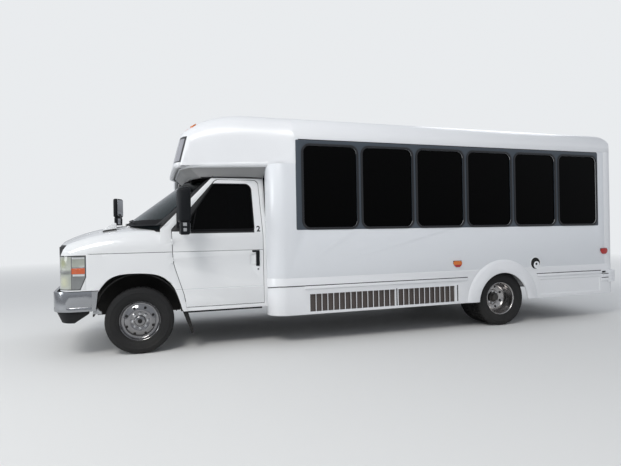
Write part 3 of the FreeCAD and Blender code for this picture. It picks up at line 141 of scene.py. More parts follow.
def clamped(tree, value):
    """Value held between nought and one."""
    return added(tree, "Clamp", Value=value).outputs[0]


def object_place(tree):
    """Object coordinates and their three parts."""
    place = added(tree, "TexCoord").outputs["Object"]
    return place, added(tree, "SeparateXYZ", Vector=place).outputs


def surface(material):
    """A material's node tree, and the three coordinates in it."""
    tree = material.node_tree
    return tree, object_place(tree)[1]


def make_film_group():
    """Road film: dust that is thicker near the ground, broken up by noise."""
    tree, inside, outside = group(
        "road_film", [("Reach", "NodeSocketFloat", 0.8), ("Amount", "NodeSocketFloat", 0.5)],
        [("Film", "NodeSocketFloat")])
    place, parts = object_place(tree)
    height = maths(tree, "DIVIDE", parts[2], inside.outputs["Reach"])
    low = maths(tree, "SUBTRACT", 1.0, height)
    low = maths(tree, "MAXIMUM", low, 0.0)
    patches = maths(tree, "MULTIPLY_ADD", noise(tree, place, 3.1, 6), 1.4, -0.2)
    fine = maths(tree, "MULTIPLY_ADD", noise(tree, place, 42.0, 3), 0.7, 0.4)
    film = maths(tree, "MULTIPLY", maths(tree, "MULTIPLY", low, patches), fine)
    film = maths(tree, "MULTIPLY", film, inside.outputs["Amount"])
    tree.links.new(clamped(tree, film), outside.inputs["Film"])
    return tree


def make_grain_group():
    """Surface grain: a bump from noise, and its mask."""
    tree, inside, outside = group(
        "surface_grain",
        [("Scale", "NodeSocketFloat", 200.0), ("Strength", "NodeSocketFloat", 0.1),
         ("Depth", "NodeSocketFloat", 0.001)],
        [("Normal", "NodeSocketVector"), ("Mask", "NodeSocketFloat")])
    mask = noise(tree, object_place(tree)[0], inside.outputs["Scale"], 3.0)
    bump = added(tree, "Bump", Height=mask, Strength=inside.outputs["Strength"],
                 Distance=inside.outputs["Depth"])
    tree.links.new(bump.outputs["Normal"], outside.inputs["Normal"])
    tree.links.new(mask, outside.inputs["Mask"])
    return tree


ROAD_FILM = make_film_group()
SURFACE_GRAIN = make_grain_group()


def placed(tree, shared, **values):
    """A shared node group placed in a material with its own values."""
    node = added(tree, "Group")
    node.node_tree = shared
    for label, value in values.items():
        feed(tree, node.inputs[label], value)
    return node


def new_material(name, **values):
    """New material, its node tree, and its shader with plain values set."""
    material = bpy.data.materials.new(name)
    material.use_nodes = True
    shader = material.node_tree.nodes["Principled BSDF"]
    for label, value in values.items():
        shader.inputs[label.replace("_", " ")].default_value = value
    return material, material.node_tree, shader


def finish(name, colour, roughness, metallic=0.0, coat=0.0, grain=(200, 0.05, 0.001), film=(0.9, 0.0),
           spread=0.04, film_colour=(0.30, 0.27, 0.23), **fixed):
    """Material with grain, slight unevenness of colour and gloss, and road film low down."""
    values = dict(Metallic=metallic, Coat_Weight=coat, Coat_Roughness=0.05)
    values.update(fixed)
    material, tree, shader = new_material(name, **values)
    grains = placed(tree, SURFACE_GRAIN, Scale=grain[0], Strength=grain[1], Depth=grain[2])
    mottle = noise(tree, object_place(tree)[0], 1.7, 5)
    shade = maths(tree, "MULTIPLY_ADD", mottle, 2 * spread, 1 - spread)
    tint = added(tree, "HueSaturation", Color=(*colour, 1), Value=shade)
    dust = placed(tree, ROAD_FILM, Reach=film[0], Amount=film[1])
    mixed = blended(tree, dust.outputs["Film"], tint.outputs["Color"], (*film_colour, 1))
    tree.links.new(mixed, shader.inputs["Base Color"])
    rough = maths(tree, "MULTIPLY_ADD", grains.outputs["Mask"], 0.12, roughness - 0.06)
    rough = maths(tree, "MULTIPLY_ADD", dust.outputs["Film"], 0.35, rough)
    tree.links.new(rough, shader.inputs["Roughness"])
    tree.links.new(grains.outputs["Normal"], shader.inputs["Normal"])
    return material


def glazing(name, colour, bend):
    """Glass with a faint unevenness of gloss."""
    material, tree, shader = new_material(name, Base_Color=(*colour, 1), Transmission_Weight=1.0, IOR=bend)
    smear = noise(tree, object_place(tree)[0], 2.3, 4)
    tree.links.new(maths(tree, "MULTIPLY_ADD", smear, 0.05, 0.02), shader.inputs["Roughness"])
    return material


def zone(tree, parts, soft=0.002, **ranges):
    """Mask of a box given in millimetres; s stands for the distance from the middle plane."""
    mask = None
    for axis, (low, high) in ranges.items():
        value = parts["xyzs".index(axis)] if axis != "s" else maths(tree, "ABSOLUTE", parts[1])
        middle = (low + high) / 2000 + (FRONT_AXLE if axis == "x" else 0.0)
        away = maths(tree, "ABSOLUTE", maths(tree, "SUBTRACT", value, middle))
        edge = maths(tree, "MULTIPLY_ADD", away, -1 / soft, (high - low) / 2000 / soft + 0.5)
        edge = clamped(tree, edge)
        mask = edge if mask is None else maths(tree, "MULTIPLY", mask, edge)
    return mask


def below_line(tree, parts, first, second, soft=0.002):
    """Mask of the side below a line from one place to another, seen from the side in millimetres."""
    slope = (second[1] - first[1]) / (second[0] - first[0])
    level = (first[1] - slope * first[0]) / 1000 - slope * FRONT_AXLE
    under = maths(tree, "SUBTRACT", maths(tree, "MULTIPLY_ADD", parts[0], slope, level), parts[2])
    return clamped(tree, maths(tree, "MULTIPLY_ADD", under, 1 / soft, 0.5))


def rounded_mask(tree, across, up, centre, half, radius, soft):
    """Mask of a rounded rectangle from two coordinates, one inside and nought outside."""
    sides = []
    for value, middle, extent in ((across, centre[0], half[0]), (up, centre[1], half[1])):
        away = maths(tree, "ABSOLUTE", maths(tree, "SUBTRACT", value, middle))
        sides.append(maths(tree, "MAXIMUM", maths(tree, "SUBTRACT", away, extent - radius), 0.0))
    square = maths(tree, "ADD", maths(tree, "POWER", sides[0], 2.0), maths(tree, "POWER", sides[1], 2.0))
    distance = maths(tree, "SUBTRACT", maths(tree, "SQRT", square), radius)
    return clamped(tree, maths(tree, "MULTIPLY_ADD", distance, -1 / soft, 0.5))


def paint_region(material, colour, roughness, mask, matt=False):
    """Paints a masked region over a finish's colour and gloss."""
    tree = material.node_tree
    shader = tree.nodes["Principled BSDF"]
    if matt:
        coat = shader.inputs["Coat Weight"]
        before = coat.links[0].from_socket if coat.links else coat.default_value
        bare = maths(tree, "SUBTRACT", 1.0, mask)
        tree.links.new(maths(tree, "MULTIPLY", bare, before), coat)
    for label, value in (("Base Color", (*colour, 1)), ("Roughness", roughness)):
        source = shader.inputs[label].links[0].from_socket
        if label == "Base Color":
            tree.links.new(blended(tree, mask, source, value), shader.inputs[label])
        else:
            change = maths(tree, "MULTIPLY", mask, maths(tree, "SUBTRACT", value, source))
            tree.links.new(maths(tree, "ADD", source, change), shader.inputs[label])


WHITE = (0.80, 0.81, 0.83)
CAB_WHITE = (0.81, 0.82, 0.83)
SLATE = (0.050, 0.064, 0.082)
BLACK = (0.012, 0.012, 0.013)
LAMP_BLACK = (0.012, 0.012, 0.012)
MESH_BROWN = (0.105, 0.088, 0.082)
# Dark grey: the floor covering's own colour, and painted shade along the swage creases.
CREASE_SHADE_AND_FLOOR_GREY = (0.10, 0.10, 0.11)
# Grey painted as shade on the cap's underside and on the panel under its lip.
SOFFIT_SHADE_GREY = (0.30, 0.30, 0.30)


def hard_white(name, **more):
    """White cab paint with a hard shine."""
    return finish(name, CAB_WHITE, 0.18, coat=0.8, grain=(60, 0.02, 0.001), **more)


def soft_white(name, **more):
    """White coach paint with a soft shine."""
    return finish(name, WHITE, 0.34, coat=0.25, grain=(35, 0.04, 0.002), spread=0.02, Coat_Roughness=0.22,
                  **more)


white_door, white_nose, white_cab = [hard_white(name, film=(0.85, 0.2), spread=0.015)
                                     for name in ("white_door", "white_nose", "white_cab")]
white_pillar = hard_white("white_pillar")
white_shell, white_skirt = [soft_white(name, film=(0.75, 0.16)) for name in ("white_shell", "white_skirt")]
white_cap = soft_white("white_cap")
white_pedestal = finish("white_pedestal", (0.80, 0.81, 0.82), 0.25, coat=0.5, grain=(90, 0.03, 0.001))
white_wall = finish("white_wall", (0.76, 0.78, 0.81), 0.30, coat=0.3, grain=(28, 0.04, 0.002),
                    film=(0.9, 0.12), spread=0.02, Coat_Roughness=0.12)
# Finish of the panel under the cap's lip: grey painted as shade.
soffit_painted_shade = finish("soffit_painted_shade", SOFFIT_SHADE_GREY, 0.5, grain=(90, 0.1, 0.001))
headlamp_lens = finish("headlamp_lens", (0.20, 0.21, 0.21), 0.15, coat=1.0, grain=(70, 0.35, 0.004),
                       spread=0.12)
window_metal = finish("window_metal", (0.012, 0.013, 0.016), 0.35, grain=(300, 0.08, 0.0005))
rubber = finish("rubber_seal", (0.006, 0.006, 0.007), 0.62, grain=(500, 0.2, 0.0006), film=(0.8, 0.2),
                Specular_IOR_Level=0.15)
black_plastic = finish("black_plastic", (0.006, 0.007, 0.009), 0.5, grain=(420, 0.25, 0.0008),
                       film=(0.9, 0.2), Specular_IOR_Level=0.18)
arch_black = finish("arch_black", (0.006, 0.006, 0.006), 0.85, grain=(120, 0.4, 0.002), film=(0.9, 0.25))
tyre_rubber = finish("tyre_rubber", BLACK, 0.78, grain=(260, 0.25, 0.001), film=(0.9, 0.35),
                     film_colour=(0.10, 0.095, 0.085), Specular_IOR_Level=0.3)
chrome = finish("bright_chrome", (0.72, 0.73, 0.75), 0.09, 1.0, grain=(18, 0.04, 0.001), film=(0.7, 0.2))
bumper_chrome = finish("bumper_chrome", (0.36, 0.37, 0.39), 0.15, 1.0, grain=(30, 0.05, 0.001),
                       film=(0.9, 0.3))
wheel_chrome = finish("wheel_chrome", (0.27, 0.27, 0.28), 0.11, 1.0, grain=(26, 0.12, 0.001),
                      film=(0.7, 0.45))
polished = finish("polished_rim", (0.46, 0.45, 0.45), 0.2, 1.0, grain=(140, 0.08, 0.0008), film=(0.8, 0.5))
mirror_face = finish("mirror_face", (0.42, 0.43, 0.45), 0.09, 1.0, grain=(5, 0.01, 0.001))
dark_steel = finish("dark_steel", (0.05, 0.05, 0.052), 0.55, 0.6, grain=(160, 0.2, 0.001), film=(0.9, 0.6))
chassis_paint = finish("chassis_paint", (0.014, 0.014, 0.015), 0.6, grain=(120, 0.3, 0.002), film=(1.1, 0.5))
cast_metal = finish("cast_metal", (0.16, 0.16, 0.165), 0.6, 0.7, grain=(90, 0.5, 0.003), film=(1.2, 0.6))
steel_sheet = finish("steel_sheet", (0.30, 0.30, 0.31), 0.4, 0.9, grain=(60, 0.1, 0.001), film=(1.0, 0.6))
dark_mesh = finish("dark_mesh", MESH_BROWN, 0.6, 0.3, grain=(260, 0.5, 0.002), film=(0.9, 0.4),
                   film_colour=(0.16, 0.14, 0.125))
blank_plate = finish("blank_plate", (0.72, 0.73, 0.74), 0.35, 0.3, grain=(80, 0.08, 0.001), film=(0.9, 0.3))
grey_marking = finish("grey_marking", (0.34, 0.35, 0.36), 0.4, grain=(200, 0.1, 0.001))
floor_covering = finish("floor_covering", CREASE_SHADE_AND_FLOOR_GREY, 0.6, grain=(240, 0.4, 0.002), film=(1.0, 0.3))
inner_lining = finish("inner_lining", (0.42, 0.43, 0.44), 0.6, grain=(180, 0.2, 0.001))
dark_lining = finish("dark_lining", (0.035, 0.036, 0.04), 0.7, grain=(180, 0.3, 0.001))
seat_cloth = finish("seat_cloth", (0.045, 0.06, 0.10), 0.9, grain=(900, 0.5, 0.0012), spread=0.12,
                    Sheen_Weight=0.3)
sign_panel = finish("sign_panel", (0.30, 0.30, 0.33), 0.16, coat=0.8, grain=(12, 0.02, 0.001))
red_lens = finish("red_lens", (0.42, 0.012, 0.010), 0.15, coat=0.6, grain=(150, 0.15, 0.001))
tinted_glass = glazing("tinted_glass", (0.002, 0.003, 0.005), 1.17)
side_glass = glazing("side_glass", (0.003, 0.004, 0.006), 1.17)
clear_glass = glazing("clear_glass", (0.13, 0.18, 0.19), 1.35)


# Ways of making shapes


def mesh_of(bm, name):
    """Mesh from a bmesh, which is freed."""
    mesh = bpy.data.meshes.new(name)
    bm.to_mesh(mesh)
    bm.free()
    return mesh


def join_meshes(parts):
    """One bmesh of several."""
    whole = bmesh.new()
    for part in parts:
        mesh = mesh_of(part, "part")
        whole.from_mesh(mesh)
        bpy.data.meshes.remove(mesh)
    return whole


def in_scene(name, data):
    """New object in the scene."""
    item = bpy.data.objects.new(name, data)
    bpy.context.scene.collection.objects.link(item)
    return item


def as_shown(piece):
    """Mesh of a piece with its modifiers applied."""
    graph = bpy.context.evaluated_depsgraph_get()
    return bpy.data.meshes.new_from_object(piece.evaluated_get(graph))


def settle(bm, name, material, body="root", crease=32, redo_normals=True, replaced=()):
    """Finishes a mesh piece: smooth shading with creases, its body and finish."""
    if redo_normals:
        bmesh.ops.recalc_face_normals(bm, faces=bm.faces)
    for face in bm.faces:
        face.smooth = True
    limit = math.radians(crease)
    for edge in bm.edges:
        if len(edge.link_faces) == 2:
            edge.smooth = edge.calc_face_angle(0) < limit
    piece = in_scene(name, mesh_of(bm, name))
    for item in material if isinstance(material, list) else [material]:
        piece.data.materials.append(item)
    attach(piece, body)
    if replaced:
        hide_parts(*replaced)
    return piece


def body_of(node):
    """Name of the body a node rides on."""
    return frame["nodes"][node]["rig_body"]


def merged_copy(node, flat=0.2):
    """Mesh of a CAD node with its loose triangles joined, and its flat faces made one."""
    bm = bmesh.new()
    bm.from_mesh(frame["nodes"][node].data)
    bmesh.ops.remove_doubles(bm, verts=bm.verts, dist=0.00004)
    if flat:
        bmesh.ops.dissolve_limit(bm, angle_limit=math.radians(flat), verts=bm.verts, edges=bm.edges)
    bm.normal_update()
    return bm


def facing_in(centre, normal, first, last, height):
    """True for a face that looks towards a level line inside the vehicle."""
    low, high = sorted((spot(first, 0, 0).x, spot(last, 0, 0).x))
    away = Vector((centre.x - min(max(centre.x, low), high), centre.y, centre.z - height / 1000))
    return normal.dot(away) < -0.02


def split(bm, place, way, dist=0.00001, **more):
    """Cuts all of a mesh along a plane."""
    everything = bm.verts[:] + bm.edges[:] + bm.faces[:]
    bmesh.ops.bisect_plane(bm, geom=everything, dist=dist, plane_co=place, plane_no=way, **more)


def round_edges(bm, edges, offset, segments=3):
    """Rounds edges off."""
    bmesh.ops.bevel(bm, geom=edges, offset=offset, segments=segments, profile=0.5, affect="EDGES",
                    clamp_overlap=True, material=-1)


def crease_line(bm, height, half, depth, test):
    """Presses a level groove into the faces that pass the test."""
    for level in (height + half, height, height - half):
        split(bm, spot(0, 0, level), (0, 0, 1))
    bm.normal_update()
    level = height / 1000
    for vert in bm.verts:
        if abs(vert.co.z - level) < 0.0002 and test(vert.co, vert.normal):
            vert.co -= Vector((vert.normal.x, vert.normal.y, 0)).normalized() * (depth / 1000)


def swell_below(bm, height, slope, out, test):
    """Brings the side panels out below a level line, over a short slope."""
    for level in (height, height - slope):
        split(bm, spot(0, 0, level), (0, 0, 1))
    bm.normal_update()
    for vert in bm.verts:
        if vert.co.z < (height - slope) / 1000 + 0.0002 and test(vert.co, vert.normal):
            vert.co.y += math.copysign(out / 1000, vert.co.y)


def dressed(node, material, soften=0.0, crease=30, inside=None, inside_test=None, shaping=None, flat=0.2):
    """Smooth copy of a CAD node that stands for it, with softened edges and an inner lining."""
    bm = merged_copy(node, flat)
    if shaping:
        shaping(bm)
    if soften:
        limit = math.radians(crease)
        sharp = [edge for edge in bm.edges if len(edge.link_faces) == 2 and edge.calc_face_angle(0) > limit]
        round_edges(bm, sharp, soften, 2)
    bm.normal_update()
    if inside is not None:
        for face in bm.faces:
            if inside_test(face.calc_center_median(), face.normal):
                face.material_index = 1
    materials = [material] if inside is None else [material, inside]
    return settle(bm, "dress_" + node, materials, body_of(node), crease, redo_normals=False,
                  replaced=(node,))


def coat_node(node, material):
    """Gives a carried-over CAD node a better material."""
    for slot in frame["nodes"][node].material_slots:
        slot.material = material


def lathe(profile, middle, steps=64, direction=1, closed=True):
    """Turned shape about the Y line through a place; the profile is (radius, along) in millimetres."""
    bm = bmesh.new()
    verts = [bm.verts.new(middle + Vector((0, direction * along / 1000, radius / 1000)))
             for radius, along in profile]
    edges = [bm.edges.new(pair) for pair in zip(verts, verts[1:])]
    if closed:
        edges.append(bm.edges.new((verts[-1], verts[0])))
    bmesh.ops.spin(bm, geom=verts + edges, cent=middle, axis=(0, 1, 0), angle=math.tau, steps=steps,
                   use_merge=True, use_duplicate=False)
    bmesh.ops.remove_doubles(bm, verts=bm.verts, dist=0.00001)
    return bm


def slab(bm, corners, thickness):
    """Closed solid from a flat outline, pushed along a vector."""
    face = bm.faces.new([bm.verts.new(corner) for corner in corners])
    result = bmesh.ops.extrude_face_region(bm, geom=[face])
    moved = [item for item in result["geom"] if isinstance(item, bmesh.types.BMVert)]
    bmesh.ops.translate(bm, verts=moved, vec=thickness)
    return bm


def side_plate(bm, side, y, outline, thickness):
    """Upright plate on one side, from its (x, z) outline, thickened outwards."""
    return slab(bm, [spot(x, side * y, z) for x, z in outline], Vector((0, side * thickness / 1000, 0)))


def plate_pair(name, material, y, outline, thickness):
    """One bright piece of an upright plate on each side."""
    bm = bmesh.new()
    for side in (1, -1):
        side_plate(bm, side, y, outline, thickness)
    settle(bm, name, material)


def brick(bm, x1, x2, y1, y2, z1, z2, round_off=0.0):
    """Box between two corners in millimetres, with softened edges."""
    low, high = spot(min(x1, x2), min(y1, y2), min(z1, z2)), spot(max(x1, x2), max(y1, y2), max(z1, z2))
    size = high - low
    matrix = Matrix.Translation((low + high) / 2) @ Matrix.Diagonal((*size, 1))
    made = bmesh.ops.create_cube(bm, size=1.0, matrix=matrix)
    if round_off:
        edges = list({edge for vert in made["verts"] for edge in vert.link_edges})
        round_edges(bm, edges, round_off / 1000)
    return bm


def side_bricks(name, material, boxes):
    """One piece of boxes that stand on both sides; each box ends with the size of its softened edge."""
    bm = bmesh.new()
    for side in (1, -1):
        for x1, x2, y1, y2, z1, z2, soft in boxes:
            brick(bm, x1, x2, side * y1, side * y2, z1, z2, soft)
    settle(bm, name, material)


def rounded_loop(left, right, low, high, radius, steps=6):
    """Points round a rounded rectangle, anticlockwise, in millimetres."""
    centres = [(right - radius, high - radius, 0), (left + radius, high - radius, 90),
               (left + radius, low + radius, 180), (right - radius, low + radius, 270)]
    points = []
    for u, v, start in centres:
        for index in range(steps + 1):
            angle = math.radians(start + 90 * index / steps)
            points.append((u + radius * math.cos(angle), v + radius * math.sin(angle)))
    return points


def softened(corners, steps=6):
    """Points round a closed outline whose corners (across, up, radius) are rounded."""
    points = []
    for index, (u, v, radius) in enumerate(corners):
        here = Vector((u, v))
        back = (Vector(corners[index - 1][:2]) - here).normalized()
        ahead = (Vector(corners[(index + 1) % len(corners)][:2]) - here).normalized()
        half = back.angle(ahead) / 2
        middle = here + (back + ahead).normalized() * radius / math.sin(half)
        start = here + back * radius / math.tan(half) - middle
        end = here + ahead * radius / math.tan(half) - middle
        for step in range(steps + 1):
            way = start.lerp(end, step / steps).normalized() * radius
            points.append(tuple(middle + way))
    return points


def flowing(points, steps=6):
    """Points along a smooth line through places (across, up)."""
    line = [Vector(points[0])] + [Vector(point) for point in points] + [Vector(points[-1])]
    smooth = []
    for before, start, end, after in zip(line, line[1:], line[2:], line[3:]):
        for step in range(steps):
            share = step / steps
            pull = (end - before) * share + (2 * before - 5 * start + 4 * end - after) * share ** 2
            smooth.append(tuple(start + (pull + (3 * start - before - 3 * end + after) * share ** 3) / 2))
    return smooth + [tuple(points[-1])]


def tube(name, points, radius, material=rubber, body="root", closed=False, sides=3):
    """Round bar or seal along a line of places."""
    data = bpy.data.curves.new(name, "CURVE")
    data.dimensions = "3D"
    data.bevel_depth = radius / 1000
    data.bevel_resolution = sides
    data.use_fill_caps = True
    line = data.splines.new("POLY")
    line.points.add(len(points) - 1)
    for point, place in zip(line.points, points):
        point.co = (*place, 1)
    line.use_cyclic_u = closed
    line.use_smooth = True
    piece = in_scene(name, data)
    data.materials.append(material)
    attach(piece, body)
    return piece


def cylinder(bm, middle, axis, radius, length, sides=24, tip=None):
    """Cylinder or cone about a place, along a direction; sizes in millimetres."""
    turn = Vector((0, 0, 1)).rotation_difference(Vector(axis)).to_matrix().to_4x4()
    matrix = Matrix.Translation(middle) @ turn
    bmesh.ops.create_cone(bm, cap_ends=True, segments=sides, radius1=radius / 1000,
                          radius2=(radius if tip is None else tip) / 1000, depth=length / 1000, matrix=matrix)
    return bm


def carve(piece, cutter_bm):
    """Cuts a mesh out of a piece and keeps the result."""
    cutter = in_scene("cutter", mesh_of(cutter_bm, "cutter"))
    modifier = piece.modifiers.new("carve", "BOOLEAN")
    modifier.object = cutter
    modifier.operation = "DIFFERENCE"
    modifier.solver = "EXACT"
    done = as_shown(piece)
    piece.modifiers.clear()
    piece.data = done
    bpy.data.objects.remove(cutter)


# Coach body


def walls_and_roof():
    """Walls, roof and rear door, white outside and lined inside, with their windows and latches."""
    def faces_in(centre, normal):
        return facing_in(centre, normal, -2300, -6300, 1600)

    tree, parts = surface(white_wall)
    middle = spot((BAND_FRONT + BAND_BACK) / 2, 0, 1899)
    half = ((BAND_FRONT - BAND_BACK) / 2000, 0.538)
    band = rounded_mask(tree, parts[0], parts[2], (middle.x, middle.z), half, 0.018, 0.003)
    outer = maths(tree, "GREATER_THAN", maths(tree, "ABSOLUTE", parts[1]), 1.2)
    paint_region(white_wall, SLATE, 0.3, maths(tree, "MULTIPLY", band, outer))
    for node in ("side_wall_left", "side_wall_right"):
        dressed(node, white_wall, 0.002, 30, inner_lining, faces_in)
    dressed("rear_wall", white_shell, 0.002, 30, inner_lining, faces_in, flat=0.0)
    dressed("roof", white_shell, 0.002, 30, inner_lining, faces_in, flat=0.0)
    dressed("rear_door", white_shell, 0.002, 30, inner_lining, faces_in)
    for node in ("window_frames_left", "window_frames_right"):
        dressed(node, window_metal, 0.0025, 40)
    for node in ("window_glass_left", "window_glass_right", "rear_door_glass", "entry_glass_front",
                 "entry_glass_rear"):
        coat_node(node, tinted_glass)
    coat_node("coach_floor", floor_covering)
    coat_node("door_hinges", white_cab)
    for side, name in SIDES:
        latches = bmesh.new()
        for start in WINDOW_STARTS:
            for x in (start - 90, start - WINDOW_LENGTH + 90):
                brick(latches, x - 22, x + 22, side * 1168, side * 1180, 1440, 1452, 3)
        settle(latches, "window_latches_" + name, black_plastic)


def drip_rails():
    """Dark rails over the side windows and flaps behind the front arches."""
    for side, name in SIDES:
        tube("drip_rail_" + name, [spot(-1812, side * 1221, 2441), spot(-6432, side * 1221, 2441)], 4)
        flap = [(-446, 500), (-506, 500), (-556, 330), (-588, 200), (-566, 192), (-508, 330)]
        settle(side_plate(bmesh.new(), side, 884, flap, 104), "arch_flap_" + name, black_plastic)


def skirts():
    """Skirts with their grilles, flares, belt moulding, bumper and fuel filler."""
    tree, parts = surface(white_skirt)
    for front, back in GRILLES:
        count = int((front - back) / GRILLE_PITCH)
        pitch = (front - back) / count
        start = (FRONT_AXLE * 1000 + front) / pitch + 0.5
        phase = maths(tree, "MULTIPLY_ADD", parts[0], -1000 / pitch, start)
        away = maths(tree, "ABSOLUTE", maths(tree, "SUBTRACT", maths(tree, "FRACT", phase), 0.5))
        beside = maths(tree, "GREATER_THAN", away, GRILLE_BAR_HALF / pitch)
        inside = zone(tree, parts, x=(back + 1, front - 1), z=(382, 589), s=(1150, 1225))
        paint_region(white_skirt, MESH_BROWN, 0.6, maths(tree, "MULTIPLY", beside, inside), True)
    for side, name in SIDES:
        piece = dressed("skirt_" + name, white_skirt, 0.003)
        pocket = brick(bmesh.new(), -5340, -6470, side * 1211, side * 1260, 385, 618, 30)
        carve(piece, pocket)
        mesh = bmesh.new()
        for front, back in GRILLES:
            brick(mesh, front + 5, back - 5, side * 1186, side * 1192, 366, 604)
            for step in range(1, 5):
                level = 366 + step * 47
                brick(mesh, front - 1, back + 1, side * 1191, side * 1195, level - 2, level + 2)
        settle(mesh, "grille_mesh_" + name, dark_mesh)
        # Flush dark slabs stand for the shade inside the slots beside the grilles.
        slot_shades = bmesh.new()
        for x in (-3089, -3990):
            brick(slot_shades, x - 8, x + 8, side * 1216, side * 1220.5, 384, 600, 2)
        settle(slot_shades, "grille_slot_shades_" + name, rubber)
        belt = [spot(-1500, -1220, BELT_LINE)]
        if side > 0:
            belt = [spot(-1654 + 201 * math.sin(turn), 1019 + 201 * math.cos(turn),
                         BELT_LINE - max(0, math.degrees(turn) - 30) * 0.35)
                    for turn in map(math.radians, range(80, -1, -8))] + [spot(-2400, 1220, BELT_LINE)]
        tube("belt_moulding_front_" + name, belt + [spot(-4150, side * 1220, BELT_LINE)], 5)
        tube("belt_moulding_rear_" + name, [spot(x, side * 1220, BELT_LINE) for x in (-5300, -6480)], 5)
    dressed("arch_flares", white_shell, 0.009, 40)
    bumper = dressed("rear_bumper", white_shell, 0.006)
    side_bricks("bumper_corner_ribs", white_shell, [(-6486, -6625, 1214, 1233, level - 23, level + 23, 6)
                                                    for level in (668, 613, 558)])
    # Dark strips between the ribs stand for the shade in the grooves.
    side_bricks("bumper_corner_groove_shade", rubber, [(-6500, -6622, 1214, 1229, level - 4, level + 4, 0)
                                               for level in (640.5, 585.5)])
    grooves = bmesh.new()
    for side in (1, -1):
        for level in (560, 603, 646):
            brick(grooves, -6830, -6600, side * 1229, side * 1250, level - 5, level + 5)
    brick(grooves, -6830, -6806, -160, 160, 560, 650)
    carve(bumper, grooves)
    plate = brick(bmesh.new(), -6809.5, -6805, -152, 152, 567, 643, 2)
    settle(plate, "number_plate_blank", blank_plate)
    middle = spot(-5280, 1219, 842)
    settle(lathe([(94, -2), (94, 3), (90, 6), (84, 6), (80, 3), (80, -2)], middle, 48), "filler_ring",
           white_shell)
    settle(lathe([(0, 1.2), (78, 1.2), (80, -1), (0, -1)], middle, 48, closed=False), "filler_cup", arch_black)
    place = middle + Vector((-0.020, 0, -0.024))
    cap = lathe([(0, 6), (44, 6), (50, 3), (52, 0), (0, 0)], place, 40, closed=False)
    settle(cap, "filler_cap", white_shell)
    place = middle + Vector((-0.010, 0, -0.010))
    lock = lathe([(0, 9), (15, 9), (17, 6), (0, 6)], place, 24, closed=False)
    settle(lock, "filler_lock", black_plastic)


def cap_outline(inset):
    """Line of the cap's lower edge round its left side and nose, in millimetres."""
    line = [(-1470, 1101), (-1400, 1075), (-1000, 962), (-700, 888), (-500, 842)]
    for turn in range(48, -1, -8):
        line.append((-680 + 280 * math.cos(math.radians(turn)), 633 + 280 * math.sin(math.radians(turn))))
    line += [(x, -y) for x, y in reversed(line) if x > -560]
    moved = []
    for index, (x, y) in enumerate(line):
        before = line[max(index - 1, 0)]
        after = line[min(index + 1, len(line) - 1)]
        along = Vector((after[0] - before[0], after[1] - before[1])).normalized()
        moved.append((x + along.y * inset, y - along.x * inset))
    return moved


def front_cap():
    """Cap above the cab with its rounded lip, closing panel and blank sign, with painted shade under the lip.
    """
    def faces_in(centre, normal):
        return facing_in(centre, normal, -900, -2300, 2420) and abs(centre.y + 0.962) > 0.004

    tree, parts = surface(white_cap)
    # The cap's underside is painted grey as shade.
    under = zone(tree, parts, 0.008, z=(1980, 2126), x=(-1452, -300), y=(-1000, 1300))
    paint_region(white_cap, SOFFIT_SHADE_GREY, 0.5, under, True)
    dressed("front_cap", white_cap, 0.003, 38, dark_lining, faces_in, flat=0.0)
    tube("cap_lip", [spot(x, y, 2164) for x, y in cap_outline(38)], 40, white_shell,
         sides=10)
    panel = [spot(x, y, 2146) for x, y in cap_outline(22)]
    panel += [spot(-1450, -830, 2146), spot(-1450, 1060, 2146)]
    settle(slab(bmesh.new(), panel, Vector((0, 0, 0.004))), "cap_closing_panel", soffit_painted_shade)
    tree, parts = surface(sign_panel)
    for mask in (zone(tree, parts, z=(2474, 2560)), zone(tree, parts, z=(2100, 2206)),
                 below_line(tree, parts, (-538, 2500), (-458, 2190), 0.008)):
        paint_region(sign_panel, (0.008, 0.008, 0.009), 0.4, mask)
    paint_region(sign_panel, WHITE, 0.3, below_line(tree, parts, (-558, 2500), (-478, 2190), 0.008))
    dressed("sign_window", sign_panel, 0.0, flat=0.0)
    tube("cab_drip_line", [spot(-700, 874, 2006), spot(-1000, 878, 2010), spot(-1440, 882, 2008)], 6)


def lamps():
    """Marker, clearance and tail lamps in their colours, on dark bases."""
    tree, parts = surface(red_lens)
    amber, clear = (0.66, 0.17, 0.02), (0.62, 0.62, 0.60)
    for colour, limits in ((amber, dict(z=(2140, 2900))), (amber, dict(x=(-4080, -3910), z=(869, 940))),
                           (amber, dict(x=(-6800, -6760), z=(1100, 1190))),
                           (clear, dict(x=(-6800, -6760), z=(940, 1030)))):
        paint_region(red_lens, colour, 0.15, zone(tree, parts, **limits))

    def narrowed(bm):
        for vert in bm.verts:
            for x, z in SIDE_MARKERS:
                away = vert.co.x - spot(x, 0, 0).x
                if abs(away) < 0.07 and abs(vert.co.y) > 1.1 and vert.co.z < z / 1000:
                    vert.co.x -= away * 0.38 * min(1, (z / 1000 - vert.co.z) / 0.041)

    dressed("exterior_lamps", red_lens, 0.005, 40, shaping=narrowed)
    bases = [(x - 65, x + 65, 1218, 1220.5, z - 2, z + 44, 0.5) for x, z in SIDE_MARKERS]
    side_bricks("lamp_bases", rubber, bases + [(-6773, -6768, 943, 1077, 953, 1327, 2)])
    side_bricks("tail_lamp_ribs", red_lens, [(-6789.5, -6786, 952, 1068, level - 2, level + 2, 0)
                                             for level in (1040, 1095, 1195, 1250)])


def rear_door_trim():
    """Window seal and handle of the rear door."""
    loop = [spot(-6743, y, z) for y, z in rounded_loop(-318, 318, 1442, 2098, 66)]
    for place in loop:
        place.x += max(0.0, place.z - 1.388) / 1.482 * 0.060 - 0.028
    tube("rear_window_seal", loop, 8, body=body_of("rear_door"), closed=True)
    trim = bmesh.new()
    brick(trim, -6786, -6768, 330, 366, 1180, 1330, 8)
    brick(trim, -6800, -6784, 338, 358, 1200, 1310, 6)
    settle(trim, "rear_door_handle", black_plastic, body=body_of("rear_door"))


